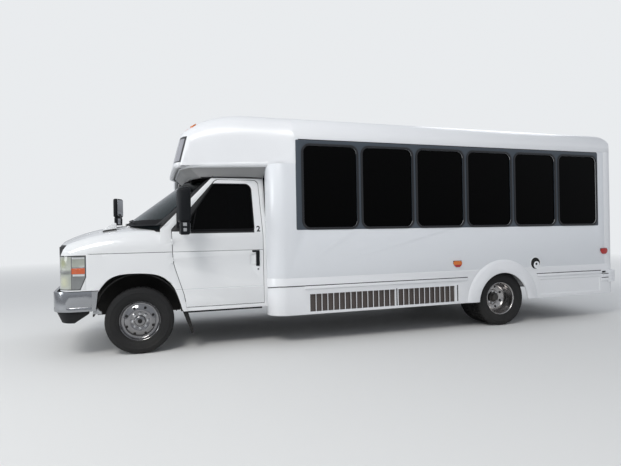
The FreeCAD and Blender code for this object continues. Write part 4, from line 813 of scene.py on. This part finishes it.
def entry_door_trim():
    """Leaves of the entry door with their rubber edges and pull bars."""
    for name, edge in (("front", -946), ("rear", -954)):
        body = body_of("entry_leaf_" + name)
        dressed("entry_leaf_" + name, window_metal, 0.002)
        tube("entry_rubber_" + name, [spot(edge, -1206, 400), spot(edge, -1206, 2122)], 5.5, body=body)
        x = -892 if name == "front" else -1008
        tube("entry_pull_" + name, [spot(x, -1180, 900), spot(x, -1150, 920), spot(x, -1150, 1480),
                                    spot(x, -1180, 1500)], 11, wheel_chrome, body)


# Cab


def cab_skin_y(height):
    """Distance of the cab's side skin from the middle plane at a height."""
    if height < 1130:
        return 1007
    if height < 1345:
        return 1007 - 8 * (height - 1130) / 215
    return 999 - 131 * (height - 1345) / 665


def on_glass(across, height, out=0.0):
    """Place on the windshield at a distance from the middle plane and a height."""
    share = (height - 1440) / 605
    middle, edge, half = 206 - 810 * share, -242 - 626 * share, 945 - 179 * share
    drop = middle - edge
    radius = (half * half + drop * drop) / (2 * drop)
    x = middle - (radius - math.sqrt(radius * radius - across * across))
    return spot(x + out * 0.6, across * (1 + out / radius), height + out * 0.8)


def nose():
    """Fenders and hood with their swage lines and low creases, both with painted shade, dark cowl, arch lips,
    splash shields and liners.
    """
    tree, parts = surface(white_nose)
    drop = maths(tree, "POWER", maths(tree, "ABSOLUTE", maths(tree, "DIVIDE", parts[1], 0.945)), 2.15)
    arc = maths(tree, "MULTIPLY_ADD", drop, -0.448, 0.206 + 0.030 + FRONT_AXLE)
    cowl = clamped(tree, maths(tree, "MULTIPLY", maths(tree, "SUBTRACT", arc, parts[0]), 300.0))
    cowl = maths(tree, "MULTIPLY", cowl, zone(tree, parts, z=(1366, 1500), s=(-944, 944)))
    paint_region(white_nose, BLACK, 0.6, cowl, True)
    # Dark line painted along the swage crease as shade.
    swage = zone(tree, parts, z=(SWAGE_LINE - 2.5, SWAGE_LINE + 2.5), s=(975, 1012), x=(-520, 505))
    paint_region(white_nose, CREASE_SHADE_AND_FLOOR_GREY, 0.6, swage, True)
    # Grey line painted along the low crease as shade.
    crease = zone(tree, parts, z=(LOW_CREASE - 4, LOW_CREASE + 1), s=(975, 1016), x=(-520, -392))
    paint_region(white_nose, (0.42, 0.43, 0.45), 0.3, crease)
    ahead = maths(tree, "SUBTRACT", 1.0, below_line(tree, parts, (806, 1120), (742, 1240)))
    fascia = maths(tree, "MULTIPLY", ahead, zone(tree, parts, z=(1105, 1237), x=(600, 900)))
    paint_region(white_nose, BLACK, 0.5, fascia, True)

    def faces_in(centre, normal):
        return normal.y * math.copysign(1, centre.y) < -0.3 or normal.z < -0.6

    for side, name in SIDES:
        def outer_skin(place, normal):
            return abs(place.y) > 0.97 and normal.y * side > 0.5 and place.x < spot(500, 0, 0).x

        def behind_wheel(place, normal):
            return abs(place.y) > 0.97 and normal.y * side > 0.2 and place.x < spot(-300, 0, 0).x

        def shape(bm):
            crease_line(bm, SWAGE_LINE, 3.5, 5, outer_skin)
            swell_below(bm, LOW_CREASE, 9, 7, behind_wheel)

        piece = dressed("fender_" + name, white_nose, 0.003, 24, arch_black, faces_in, shape, 0.0)
        arch = flowing([(-480, 440), (-464, 472), (-431, 585), (-367, 741), (-256, 853), (-112, 898),
                        (80, 908), (222, 895), (326, 848), (404, 757), (419, 728)])
        arch += [(506, 728), (506, 440)]
        cutter = side_plate(bmesh.new(), side, 700, arch, 340)
        bmesh.ops.recalc_face_normals(cutter, faces=cutter.faces)
        carve(piece, cutter)
        line = [spot(x, side * (1004 if z > 700 else 1010), z) for x, z in arch[:-2] if z > 470]
        tube("arch_lip_" + name, line, 2.4, white_cab)
        shield = [(-462, 395), (-462, 560), (-400, 740), (-250, 870), (-90, 908), (110, 908), (270, 870),
                  (420, 740), (484, 560), (484, 395)]
        settle(side_plate(bmesh.new(), side, 484, shield, 4), "splash_shield_" + name, arch_black)
        liner = lathe([(462, 0), (474, 0), (474, 330), (462, 330)], spot(12, side * 650, 428), 72, side)
        split(liner, spot(0, 0, 450), (0, 0, 1), 0, clear_inner=True)
        settle(liner, "arch_liner_" + name, arch_black)
    dressed("hood", white_cab, 0.003, 24, dark_lining, lambda centre, normal: normal.z < -0.4, flat=0.0)


def windshield_trim():
    """Dark band round the windshield, its wipers and the cab's pillars."""
    tree, parts = surface(white_pillar)
    ahead = maths(tree, "SUBTRACT", 1.0, below_line(tree, parts, (-334, 1500), (-864, 2040)))
    paint_region(white_pillar, BLACK, 0.5, ahead, True)
    dressed("cab_frame", white_pillar, 0.002, 30, black_plastic,
            lambda centre, normal: (centre.z > 1.436 and centre.z < 1.4575 and centre.x > spot(-300, 0, 0).x)
            or normal.y * math.copysign(1, centre.y) < -0.5)
    pieces = []
    for place, way in ((spot(0, 0, 1512), (0, 0, -1)), (spot(0, 0, 1990), (0, 0, 1)),
                       (spot(0, 898, 1440), (0, 0.959, 0.284)), (spot(0, -898, 1440), (0, -0.959, 0.284))):
        bm = merged_copy("windshield", 0.0)
        for vert in bm.verts:
            vert.co += vert.normal * 0.0012
        split(bm, place, way, 0, clear_inner=True)
        pieces.append(bm)
    settle(join_meshes(pieces), "windshield_band", rubber, crease=30, redo_normals=False)
    for name, pivot, reach in (("left", 560, -30), ("right", -120, -690)):
        start = on_glass(pivot, 1462, 22)
        end = on_glass(reach, 1500, 20)
        tube("wiper_arm_" + name, [start, start.lerp(end, 0.5) + Vector((0.012, 0, 0.012)), end], 5,
             black_plastic)
        blade = [on_glass(reach + (pivot - reach) * (share - 0.42), 1492 + 18 * share, 12)
                 for share in (0, 0.2, 0.4, 0.6, 0.8, 1.0)]
        tube("wiper_blade_" + name, blade, 6)
    coat_node("windshield", clear_glass)
    coat_node("cab_floor", floor_covering)
    dressed("dashboard", black_plastic, 0.003)


def cab_door():
    """Cab door with swage line and low crease, both with painted shade, window rubber, handle, lock and
    number.
    """
    body = body_of("cab_door")

    def outer_skin(place, normal):
        return place.y > 0.97 and normal.y > 0.5

    def shape(bm):
        crease_line(bm, SWAGE_LINE, 3.5, 5, outer_skin)
        swell_below(bm, LOW_CREASE, 9, 7, outer_skin)

    tree, parts = surface(white_door)
    ahead = maths(tree, "SUBTRACT", 1.0, below_line(tree, parts, (-484, 1372), (-862, 1926)))
    ahead = maths(tree, "MULTIPLY", ahead, zone(tree, parts, z=(1366, 1935), s=(850, 1001)))
    paint_region(white_door, BLACK, 0.4, ahead, True)
    belt = zone(tree, parts, x=(-1312, -440), z=(1341, 1380), s=(980, 1003))
    paint_region(white_door, BLACK, 0.4, belt, True)
    # Dark line painted along the swage crease as shade.
    swage = zone(tree, parts, z=(SWAGE_LINE - 2.5, SWAGE_LINE + 2.5), s=(990, 1012))
    paint_region(white_door, CREASE_SHADE_AND_FLOOR_GREY, 0.6, swage, True)
    # Grey line painted along the low crease as shade.
    crease = zone(tree, parts, z=(LOW_CREASE - 4, LOW_CREASE), s=(990, 1018))
    paint_region(white_door, (0.50, 0.51, 0.53), 0.3, crease)
    dressed("cab_door", white_door, 0.003, 28, dark_lining,
            lambda centre, normal: normal.y < -0.5 and centre.y < 0.975, shape)
    coat_node("cab_door_glass", side_glass)
    corners = [(-1309, 1369, 32), (-462, 1369, 27), (-843, 1929, 62), (-1293, 1929, 72)]
    seal = [spot(x, cab_skin_y(z) - 3, z) for x, z in softened(corners, 5)]
    tube("door_window_rubber", seal, 9, body=body, closed=True)
    belt = [spot(x, cab_skin_y(1378) + 1, 1380) for x in (-1300, -480)]
    tube("door_belt_rubber", belt, 10, body=body)
    tube("vent_bar", [spot(-590, cab_skin_y(1390) - 14, 1388), spot(-640, cab_skin_y(1620) - 14, 1618)], 8,
         body=body)
    handle = bmesh.new()
    brick(handle, -1369, -1325, 1000, 1019, 939, 1130, 9)
    brick(handle, -1350, -1279, 1001, 1014, 1106, 1130, 8)
    settle(handle, "door_handle", black_plastic, body=body)
    lock = cylinder(bmesh.new(), spot(-1350, 1008, 902), (0, 1, 0), 12, 5, 24, 10)
    settle(lock, "door_lock", wheel_chrome, body)
    text = bpy.data.curves.new("door_number", "FONT")
    text.body = "2"
    text.size = 0.095
    text.extrude = 0.0006
    text.offset = 0.0022
    text.align_x = "CENTER"
    text.align_y = "CENTER"
    holder = in_scene("door_number_text", text)
    bm = bmesh.new()
    bm.from_mesh(as_shown(holder))
    bpy.data.objects.remove(holder)
    lean = math.atan(131 / 665)
    turn = Matrix.Rotation(math.pi, 4, "Z") @ Matrix.Rotation(math.pi / 2 - lean, 4, "X")
    bm.transform(Matrix.Translation(spot(-1362, cab_skin_y(1382) + 0.8, 1382)) @ turn)
    settle(bm, "door_number", black_plastic, body=body)


def mirrors():
    """Door mirror with its arms, and the fender pedestals with the right mirror."""
    body = body_of("door_mirror")
    head = brick(bmesh.new(), -540, -414, 1198, 1398, 1462, 1838, 34)
    head = brick(head, -534, -434, 1204, 1396, 1328, 1470, 20)
    for vert in head.verts:
        if vert.co.z > 1.462:
            vert.co.x -= (vert.co.y - 1.298) * 0.12
    settle(head, "door_mirror_housing", black_plastic, body=body, crease=40, replaced=("door_mirror",))
    for label, y, levels in (("low", 985, (1440, 1432, 1420)), ("high", 975, (1560, 1568, 1580))):
        line = [spot(*place) for place in zip((-455, -452, -470), (y, 1100, 1225), levels)]
        tube("mirror_arm_" + label, line, 13, black_plastic, body)
    foot = brick(bmesh.new(), -500, -412, 962, 990, 1404, 1596, 10)
    settle(foot, "mirror_foot", black_plastic, body=body)
    marks = bmesh.new()
    brick(marks, -501, -462, 1390, 1398.5, 1421, 1458, 4)
    brick(marks, -500, -464, 1390, 1398.5, 1364, 1400, 4)
    settle(marks, "mirror_reflectors", grey_marking, body=body)
    faces = bmesh.new()
    brick(faces, -545, -539, 1222, 1376, 1492, 1812, 3)
    brick(faces, -538.5, -533, 1224, 1378, 1346, 1452, 3)
    settle(faces, "mirror_faces", mirror_face, body)

    tree, parts = surface(white_pedestal)
    # Dark band painted along the pedestal's foot as its shadow on the hood.
    paint_region(white_pedestal, (0.01, 0.01, 0.01), 0.6, below_line(tree, parts, (250, 1416), (396, 1394)))

    def without_head(bm):
        head = [face for face in bm.faces if face.calc_center_median().y < -1.17
                and (face.calc_center_median() - spot(340, -1290, 1660)).length > 0.016]
        bmesh.ops.delete(bm, geom=head, context="FACES")

    dressed("fender_mirrors", white_pedestal, 0.006, 40, black_plastic,
            lambda centre, normal: centre.y < -0.60 and (centre.y < -0.695 or centre.z > 1.484), without_head)
    middle = spot(345, -1283, 0)
    turn = Matrix.Rotation(math.radians(-25), 4, "Z")
    turn = Matrix.Translation(middle) @ turn @ Matrix.Translation(-middle)
    housing = brick(bmesh.new(), 316, 382, -1385, -1181, 1612, 1900, 26)
    brick(housing, 322, 376, -1370, -1196, 1490, 1618, 22)
    housing.transform(turn)
    settle(housing, "right_mirror_housing", black_plastic, crease=40)
    faces = brick(bmesh.new(), 312, 317, -1366, -1200, 1640, 1880, 2)
    brick(faces, 318.5, 323, -1350, -1216, 1508, 1596, 2)
    faces.transform(turn)
    settle(faces, "right_mirror_faces", mirror_face)


def headlamp_and_bumper():
    """Headlamps with painted chambers and painted reflections in them, the grille, the chrome bumper, the
    valance and the cab's step.
    """
    tree, parts = surface(headlamp_lens)
    side_face = dict(s=(650, 1100))
    # The pale and yellow chamber colours and the bright lower cell are painted reflections in the reflectors
    # behind the glass.
    pale, reflected_yellow, milky = (0.38, 0.40, 0.35), (0.34, 0.36, 0.20), (0.66, 0.67, 0.67)
    for colour, rough, limits in (
            (pale, 0.2, dict(x=(690, 900), z=(762, 1110))),
            (reflected_yellow, 0.2, dict(x=(752, 800), z=(1000, 1085), soft=0.05)),
            ((0.20, 0.21, 0.20), 0.3, dict(x=(690, 900), z=(925, 962), soft=0.02)),
            ((0.50, 0.51, 0.36), 0.2, dict(x=(735, 800), z=(790, 890), soft=0.05)),
            (pale, 0.15, dict(x=(556, 678), z=(1000, 1085))),
            (milky, 0.15, dict(x=(556, 678), z=(1086, 1104))),
            ((0.60, 0.10, 0.02), 0.15, dict(x=(552, 690), z=(925, 987))),
            (milky, 0.15, dict(x=(556, 672), z=(900, 921))),
            ((0.06, 0.06, 0.06), 0.3, dict(x=(683, 688), z=(760, 1120))),
            (LAMP_BLACK, 0.5, dict(z=(1112, 1130))), (LAMP_BLACK, 0.5, dict(x=(500, 550))),
            (LAMP_BLACK, 0.5, dict(z=(740, 760)))):
        paint_region(headlamp_lens, colour, rough, zone(tree, parts, **limits, **side_face))
    paint_region(headlamp_lens, LAMP_BLACK, 0.5, below_line(tree, parts, (535, 925), (611, 745)))
    paint_region(headlamp_lens, CAB_WHITE, 0.2, below_line(tree, parts, (535, 900), (599, 745)))
    shader = tree.nodes["Principled BSDF"]
    height = None
    for x, z, reach in ((765, 1035, 0.095), (765, 850, 0.095), (618, 1045, 0.075), (640, 820, 0.085)):
        across = maths(tree, "POWER", maths(tree, "SUBTRACT", parts[0], FRONT_AXLE + x / 1000), 2.0)
        up = maths(tree, "POWER", maths(tree, "SUBTRACT", parts[2], z / 1000), 2.0)
        bowl = maths(tree, "DIVIDE", maths(tree, "SQRT", maths(tree, "ADD", across, up)), reach)
        bowl = maths(tree, "MINIMUM", maths(tree, "POWER", bowl, 2.0), 1.0)
        height = bowl if height is None else maths(tree, "MULTIPLY", height, bowl)
    flutes = maths(tree, "SINE", maths(tree, "MULTIPLY", parts[0], 520.0))
    height = maths(tree, "MULTIPLY_ADD", flutes, 0.045, height)
    grain = shader.inputs["Normal"].links[0].from_socket
    bump = added(tree, "Bump", Distance=0.03, Strength=0.8, Height=height, Normal=grain)
    tree.links.new(bump.outputs["Normal"], shader.inputs["Normal"])
    dressed("headlamps", headlamp_lens, 0.004, 40, flat=0.0)
    dressed("grille", black_plastic, 0.0015, 40)

    def face_front(place, normal):
        return abs(normal.z) < 0.5 and (place.x > spot(870, 0, 0).x or abs(place.y) > 0.99)

    dressed("front_bumper", bumper_chrome, 0.010, 40,
            shaping=lambda bm: crease_line(bm, 560, 5, 4, face_front))

    def raked(bm):
        split(bm, spot(655, 0, 0), (1, 0, 0))
        for vert in bm.verts:
            if vert.co.x < spot(600, 0, 0).x and vert.co.z < 0.45:
                vert.co.z = 0.486
            elif vert.co.x > spot(700, 0, 0).x and vert.co.z < 0.45:
                vert.co.x -= 0.06 * min(1.0, (vert.co.x - spot(700, 0, 0).x) / 0.2)

    dressed("front_valance", black_plastic, 0.006, 40, shaping=raked)
    end = [(490, 516), (490, 730), (424, 730), (430, 700), (452, 516)]
    plate_pair("bumper_ends", bumper_chrome, 994, end, 7.5)
    dressed("cab_steps", black_plastic, 0.002)
    bracket = [(478, 532), (430, 530), (412, 506), (396, 500), (396, 474), (484, 480)]
    plate_pair("bumper_brackets", grey_marking, 940, bracket, 45)


# Seats


# How much smaller a pad starts, and how far its filling may push it, in metres
PAD_SHRINK = 0.018
PAD_REACH = 0.022


def swollen_pad(width, depth, height, name):
    """Mesh of a sewn seat pad about the origin, swollen by simulated filling."""
    bm = bmesh.new()
    matrix = Matrix.Diagonal((depth - PAD_SHRINK, width - PAD_SHRINK, height - PAD_SHRINK, 1))
    bmesh.ops.create_cube(bm, size=1.0, matrix=matrix)
    round_edges(bm, bm.edges[:], 0.024)
    pad = in_scene(name, mesh_of(bm, name))
    remesh = pad.modifiers.new("remesh", "REMESH")
    remesh.mode = "VOXEL"
    remesh.voxel_size = 0.019
    start = as_shown(pad)
    pad.modifiers.clear()
    pad.data = start
    before = [vert.co.copy() for vert in start.vertices]
    cloth = pad.modifiers.new("filling", "CLOTH")
    cloth.settings.use_pressure = True
    cloth.settings.uniform_pressure_force = 4.0
    cloth.settings.effector_weights.gravity = 0.0
    for step in range(1, 21):
        bpy.context.scene.frame_set(step)
    after = [vert.co.copy() for vert in as_shown(pad).vertices]
    bpy.context.scene.frame_set(1)
    bm = bmesh.new()
    bm.from_mesh(start)
    for vert, old, new in zip(bm.verts, before, after):
        shift = new - old
        if shift.length > PAD_REACH:
            shift = shift.normalized() * PAD_REACH
        place = old + shift
        for line in (-0.25 * width, 0.25 * width):
            place.z -= math.copysign(0.007, old.z) * math.exp(-((old.y - line) / 0.014) ** 2)
        vert.co = place
    bpy.data.objects.remove(pad)
    return bm


def seats():
    """Driver's seat and passenger seats: padded cushions and backs on steel legs."""
    places = [("driver", [(-1080, 430, 690, 400)], 520)]
    passengers = [(start - 380, side * 710, 830, 430) for start in WINDOW_STARTS for side in (1, -1)]
    places.append(("passenger", passengers, 880))
    for kind, rows, width in places:
        node = kind + "_seat" if kind == "driver" else "passenger_seats"
        cushion = swollen_pad(width / 1000, 0.45, 0.115, kind + "_cushion_pad")
        back = swollen_pad(width / 1000, 0.66, 0.095, kind + "_back_pad")
        for label, pad in (("cushion", cushion), ("back", back)):
            copies = []
            for x, y, floor, seat in rows:
                copy = pad.copy()
                if label == "cushion":
                    turn = Matrix.Rotation(-0.05, 4, "Y")
                    copy.transform(Matrix.Translation(spot(x + 15, y, floor + seat - 68)) @ turn)
                else:
                    turn = Matrix.Rotation(math.pi / 2 + 0.17, 4, "Y")
                    copy.transform(Matrix.Translation(spot(x - 262, y, floor + seat + 350)) @ turn)
                copies.append(copy)
            pad.free()
            piece = settle(join_meshes(copies), kind + "_seat_" + label, seat_cloth,
                           crease=60, replaced=(node,) if label == "cushion" else ())
        legs = bmesh.new()
        for x, y, floor, seat in rows:
            brick(legs, x - 200, x + 200, y - width / 2 + 40, y + width / 2 - 40, floor + seat - 140,
                  floor + seat - 125)
            for lift in (-1, 1):
                side = y + lift * (width / 2 - 130)
                for leg in (x - 150, x + 115):
                    brick(legs, leg, leg + 35, side - 14, side + 14, floor, floor + seat - 139, 4)
                brick(legs, x - 180, x + 180, side - 18, side + 18, floor, floor + 12, 3)
        settle(legs, kind + "_seat_legs", dark_steel)


def chassis():
    """Frame, axles, tank and pipe with their own finishes."""
    finishes = {
        "frame_rails": chassis_paint, "frame_crossmembers": chassis_paint, "front_axle_beams": chassis_paint,
        "rear_axle": chassis_paint, "knuckle_left": cast_metal, "knuckle_right": cast_metal,
        "engine_block": cast_metal, "fuel_tank": steel_sheet, "exhaust_pipe": steel_sheet,
    }
    for node, material in finishes.items():
        dressed(node, material, 0.003, 40)


# Wheels


def tyre(side, across, x):
    """Tyre with ribs, cut shoulders and rings on its walls."""
    wall = [(214, 72), (224, 86), (232, 97), (238, 100), (244, 99), (252, 104), (268, 109), (290, 111.4),
            (308, 111), (312, 112.5), (318, 112.5), (322, 109.5), (340, 106), (352, 101), (362, 93),
            (368, 84), (371, 76)]
    tread = [(372, 62), (372, 48), (364, 47), (364, 39), (372, 38), (372, 14), (364, 13), (364, 5), (372, 4)]
    half = wall + tread
    profile = half + [(radius, -along) for radius, along in reversed(half)]
    middle = spot(x, side * across, AXLE_HEIGHT)
    bm = lathe(profile, middle, TYRE_STEPS, side)
    notches = []
    for face in bm.faces:
        centre = face.calc_center_median() - middle
        radius = math.hypot(centre.x, centre.z) * 1000
        along = abs(centre.y) * 1000
        angle = math.atan2(centre.z, centre.x) / math.tau * TYRE_STEPS
        if radius > 366 and (48 < along < 76 or 14 < along < 38) and int(math.floor(angle)) % 3 == 0:
            notches.append(face)
    bmesh.ops.inset_individual(bm, faces=notches, thickness=0.0004, depth=0.0)
    made = bmesh.ops.extrude_discrete_faces(bm, faces=notches)
    for face in made["faces"]:
        centre = face.calc_center_median() - middle
        inward = -Vector((centre.x, 0, centre.z)).normalized() * 0.007
        bmesh.ops.translate(bm, verts=face.verts, vec=inward)
    return bm


def bolt_ring(middle, direction, face_at, size=15, height=17):
    """Ring of domed hexagonal nuts."""
    bm = bmesh.new()
    for index in range(NUT_COUNT):
        angle = math.tau * index / NUT_COUNT
        place = middle + Vector((math.cos(angle), 0, math.sin(angle))) * (NUT_CIRCLE / 1000)
        out = Vector((0, direction, 0))
        cylinder(bm, place + out * (face_at + height / 2) / 1000, out, size, height, 6)
        cylinder(bm, place + out * (face_at + height + 3) / 1000, out, size * 0.82, 7, 16, size * 0.4)
    return bm


def hand_holes(middle, direction, circle, radius, depth_at):
    """Cutters for a wheel's round openings, each between two nuts."""
    bm = bmesh.new()
    for index in range(NUT_COUNT):
        angle = math.tau * (index + 0.5) / NUT_COUNT
        place = middle + Vector((math.cos(angle), 0, math.sin(angle))) * (circle / 1000)
        cylinder(bm, place + Vector((0, direction * depth_at / 1000, 0)), (0, 1, 0), radius, 60, 24)
    return bm


def front_wheel(side, name):
    """Front wheel: tyre, dark rim behind, and a polished liner with holes, nuts and a hub cap."""
    wheel = "front_" + name
    body = wheel + "_wheel"
    middle = spot(0, side * FRONT_WHEEL, AXLE_HEIGHT)
    settle(tyre(side, FRONT_WHEEL, 0), wheel + "_tyre_tread", tyre_rubber, body, 35,
           replaced=(wheel + "_tyre",))
    back = lathe([(211, -78), (222, -86), (226, -86), (226, -83), (214, -74), (212, 74), (226, 83),
                  (226, 86), (221, 86), (206, 70), (196, 50), (70, 50), (70, 44), (192, 44), (200, -60)],
                 middle, 72, side)
    settle(back, wheel + "_rim_steel", dark_steel, body, 35,
           replaced=(wheel + "_rim",))
    liner = lathe([(223, 87), (219, 90), (213, 86), (208, 74), (200, 62), (190, 57), (180, 58), (168, 66),
                   (150, 78), (134, 84), (112, 86), (104, 84), (98, 79), (62, 79), (62, 76), (100, 76),
                   (110, 82), (134, 80), (148, 74), (166, 62), (180, 54), (192, 53), (204, 59), (211, 72),
                   (216, 83)], middle, 96, side)
    piece = settle(liner, wheel + "_liner", wheel_chrome, body, 40)
    carve(piece, hand_holes(middle, side, 152, 15, 75))
    nuts = bolt_ring(middle, side, 79)
    settle(nuts, wheel + "_nuts", chrome, body, 30)
    hub = lathe([(62, 76), (62, 84), (58, 88), (56, 108), (52, 114), (40, 118), (0, 119), (0, 76)], middle,
                48, side, closed=False)
    settle(hub, wheel + "_hub", wheel_chrome, body, 40)
    centre = lathe([(0, 124), (20, 124), (27, 121), (29, 116), (0, 116)], middle, 6, side, closed=False)
    settle(centre, wheel + "_hub_centre", black_plastic, body, 20)


def rear_wheels(side, name):
    """Twin rear wheels with a deep polished dish."""
    wheel = "rear_" + name
    body = wheel + "_wheels"
    outer = spot(REAR_AXLE, side * REAR_OUTER, AXLE_HEIGHT)
    inner = spot(REAR_AXLE, side * REAR_INNER, AXLE_HEIGHT)
    both = join_meshes([tyre(side, across, REAR_AXLE) for across in (REAR_OUTER, REAR_INNER)])
    settle(both, wheel + "_tyre_treads", tyre_rubber, body, 35,
           replaced=(wheel + "_tyres",))
    back = lathe([(211, -78), (224, -86), (226, -83), (214, -74), (212, 74), (226, 83), (224, 86), (206, 76),
                  (200, -60)], inner, 72, side)
    settle(back, wheel + "_inner_rim", dark_steel, body, 35,
           replaced=(wheel + "_rims",))
    dish = lathe([(224, 87), (219, 90), (213, 87), (208, 78), (205, 60), (203, 20), (199, -30), (190, -62),
                  (172, -86), (150, -99), (128, -106), (108, -108), (100, -106), (96, -101), (58, -101),
                  (58, -106), (98, -106), (108, -113), (130, -111), (154, -104), (178, -90), (196, -64),
                  (205, -30), (209, 20), (211, 60), (215, 78), (221, 84)], outer, 96, side)
    piece = settle(dish, wheel + "_dish", polished, body, 40)
    carve(piece, hand_holes(outer, side, 150, 16, -96))
    nuts = bolt_ring(outer, side, -101)
    settle(nuts, wheel + "_nuts", chrome, body, 30)
    hub = lathe([(60, -108), (60, -70), (66, -66), (66, -54), (54, -50), (50, -22), (44, -16), (28, -13),
                 (0, -12), (0, -108)], outer, 48, side, closed=False)
    settle(hub, wheel + "_hub", dark_steel, body, 40)


# Stage, lights and camera


# Colour and strength of what the camera sees behind the vehicle
BACKDROP = (0.86, 0.88, 0.90, 1)
BACKDROP_LIGHT = 0.95


def shaders_mixed(tree, share, first, second):
    """Mix of two shaders."""
    node = added(tree, "MixShader")
    for socket, value in zip(node.inputs, (share, first, second)):
        tree.links.new(value, socket)
    return node.outputs[0]


def pale_floor():
    """Wide pale floor that fades into the backdrop where the camera sees it far off."""
    bm = bmesh.new()
    bmesh.ops.create_grid(bm, x_segments=1, y_segments=1, size=60.0)
    floor = in_scene("floor", mesh_of(bm, "floor"))
    material, tree, shader = new_material("pale_floor", Base_Color=(0.76, 0.76, 0.75, 1), Roughness=0.8)
    parts = object_place(tree)[1]
    away = maths(tree, "ADD", maths(tree, "POWER", parts[0], 2.0), maths(tree, "POWER", parts[1], 2.0))
    fade = clamped(tree, maths(tree, "MULTIPLY_ADD", maths(tree, "SQRT", away), 1 / 16.0, -0.42))
    share = maths(tree, "MULTIPLY", fade, added(tree, "LightPath").outputs["Is Camera Ray"])
    glow = added(tree, "Emission", Color=BACKDROP, Strength=BACKDROP_LIGHT)
    mix = shaders_mixed(tree, share, shader.outputs[0], glow.outputs[0])
    tree.links.new(mix, tree.nodes["Material Output"].inputs[0])
    floor.data.materials.append(material)


def studio():
    """World that is paler above, seen by the camera as a plain backdrop."""
    world = bpy.data.worlds.new("studio")
    bpy.context.scene.world = world
    world.use_nodes = True
    tree = world.node_tree
    tree.nodes.clear()
    output = added(tree, "OutputWorld")
    upward = added(tree, "SeparateXYZ", Vector=added(tree, "TexCoord").outputs["Generated"]).outputs[2]
    ramp = added(tree, "ValToRGB", Fac=maths(tree, "MULTIPLY_ADD", upward, 0.5, 0.5))
    for element, position, colour in zip(ramp.color_ramp.elements, (0.42, 0.62),
                                         ((0.42, 0.42, 0.43, 1), (0.86, 0.90, 0.96, 1))):
        element.position = position
        element.color = colour
    room = added(tree, "Background", Color=ramp.outputs[0], Strength=0.62)
    backdrop = added(tree, "Background", Color=BACKDROP, Strength=BACKDROP_LIGHT)
    seen = added(tree, "LightPath").outputs["Is Camera Ray"]
    tree.links.new(shaders_mixed(tree, seen, room.outputs[0], backdrop.outputs[0]), output.inputs[0])


def lights():
    """Three round soft lights: name, place, target, size, power and colour."""
    for label, place, target, size, power, colour in (
            ("key_light", (7.0, 8.0, 10.5), (0.5, 0, 1.0), 4.5, 700, (1.0, 0.98, 0.95)),
            ("front_light", (12.0, 2.0, 4.0), (2.5, 0, 1.2), 4.0, 260, (0.95, 0.98, 1.0)),
            ("back_light", (-9.0, -7.0, 8.0), (0, 0, 1.2), 6.0, 170, (0.95, 0.97, 1.0))):
        data = bpy.data.lights.new(label, "AREA")
        data.shape = "DISK"
        data.size = size
        data.energy = power
        data.color = colour
        lamp = in_scene(label, data)
        lamp.location = place
        lamp.rotation_euler = (Vector(target) - Vector(place)).to_track_quat("-Z", "Y").to_euler()


# The photograph's focal length and width, in pixels
FOCAL_LENGTH = 484
PHOTO_WIDTH = 621


def camera():
    """Camera at the photograph's place and angle."""
    yaw, pitch, roll = 0.315356, -0.000212, -0.017474
    forward = Vector((-math.sin(yaw) * math.cos(pitch), -math.cos(yaw) * math.cos(pitch), math.sin(pitch)))
    right = forward.cross(Vector((0, 0, 1))).normalized()
    up = right.cross(forward)
    tilted = right * math.cos(roll) + up * math.sin(roll)
    upright = up * math.cos(roll) - right * math.sin(roll)
    data = bpy.data.cameras.new("camera")
    data.sensor_width = 36.0
    data.lens = FOCAL_LENGTH / PHOTO_WIDTH * data.sensor_width
    matrix = Matrix((tilted, upright, -forward)).transposed().to_4x4()
    matrix.translation = spot(-149.75, 6731.2, 1324.5)
    eye = in_scene("camera", data)
    eye.matrix_world = matrix
    bpy.context.scene.camera = eye


walls_and_roof()
drip_rails()
skirts()
front_cap()
lamps()
rear_door_trim()
entry_door_trim()
nose()
windshield_trim()
cab_door()
mirrors()
headlamp_and_bumper()
seats()
chassis()
for wheel_side, wheel_name in SIDES:
    front_wheel(wheel_side, wheel_name)
    rear_wheels(wheel_side, wheel_name)
pale_floor()
studio()
lights()
camera()
bpy.context.scene.view_settings.view_transform = "Standard"
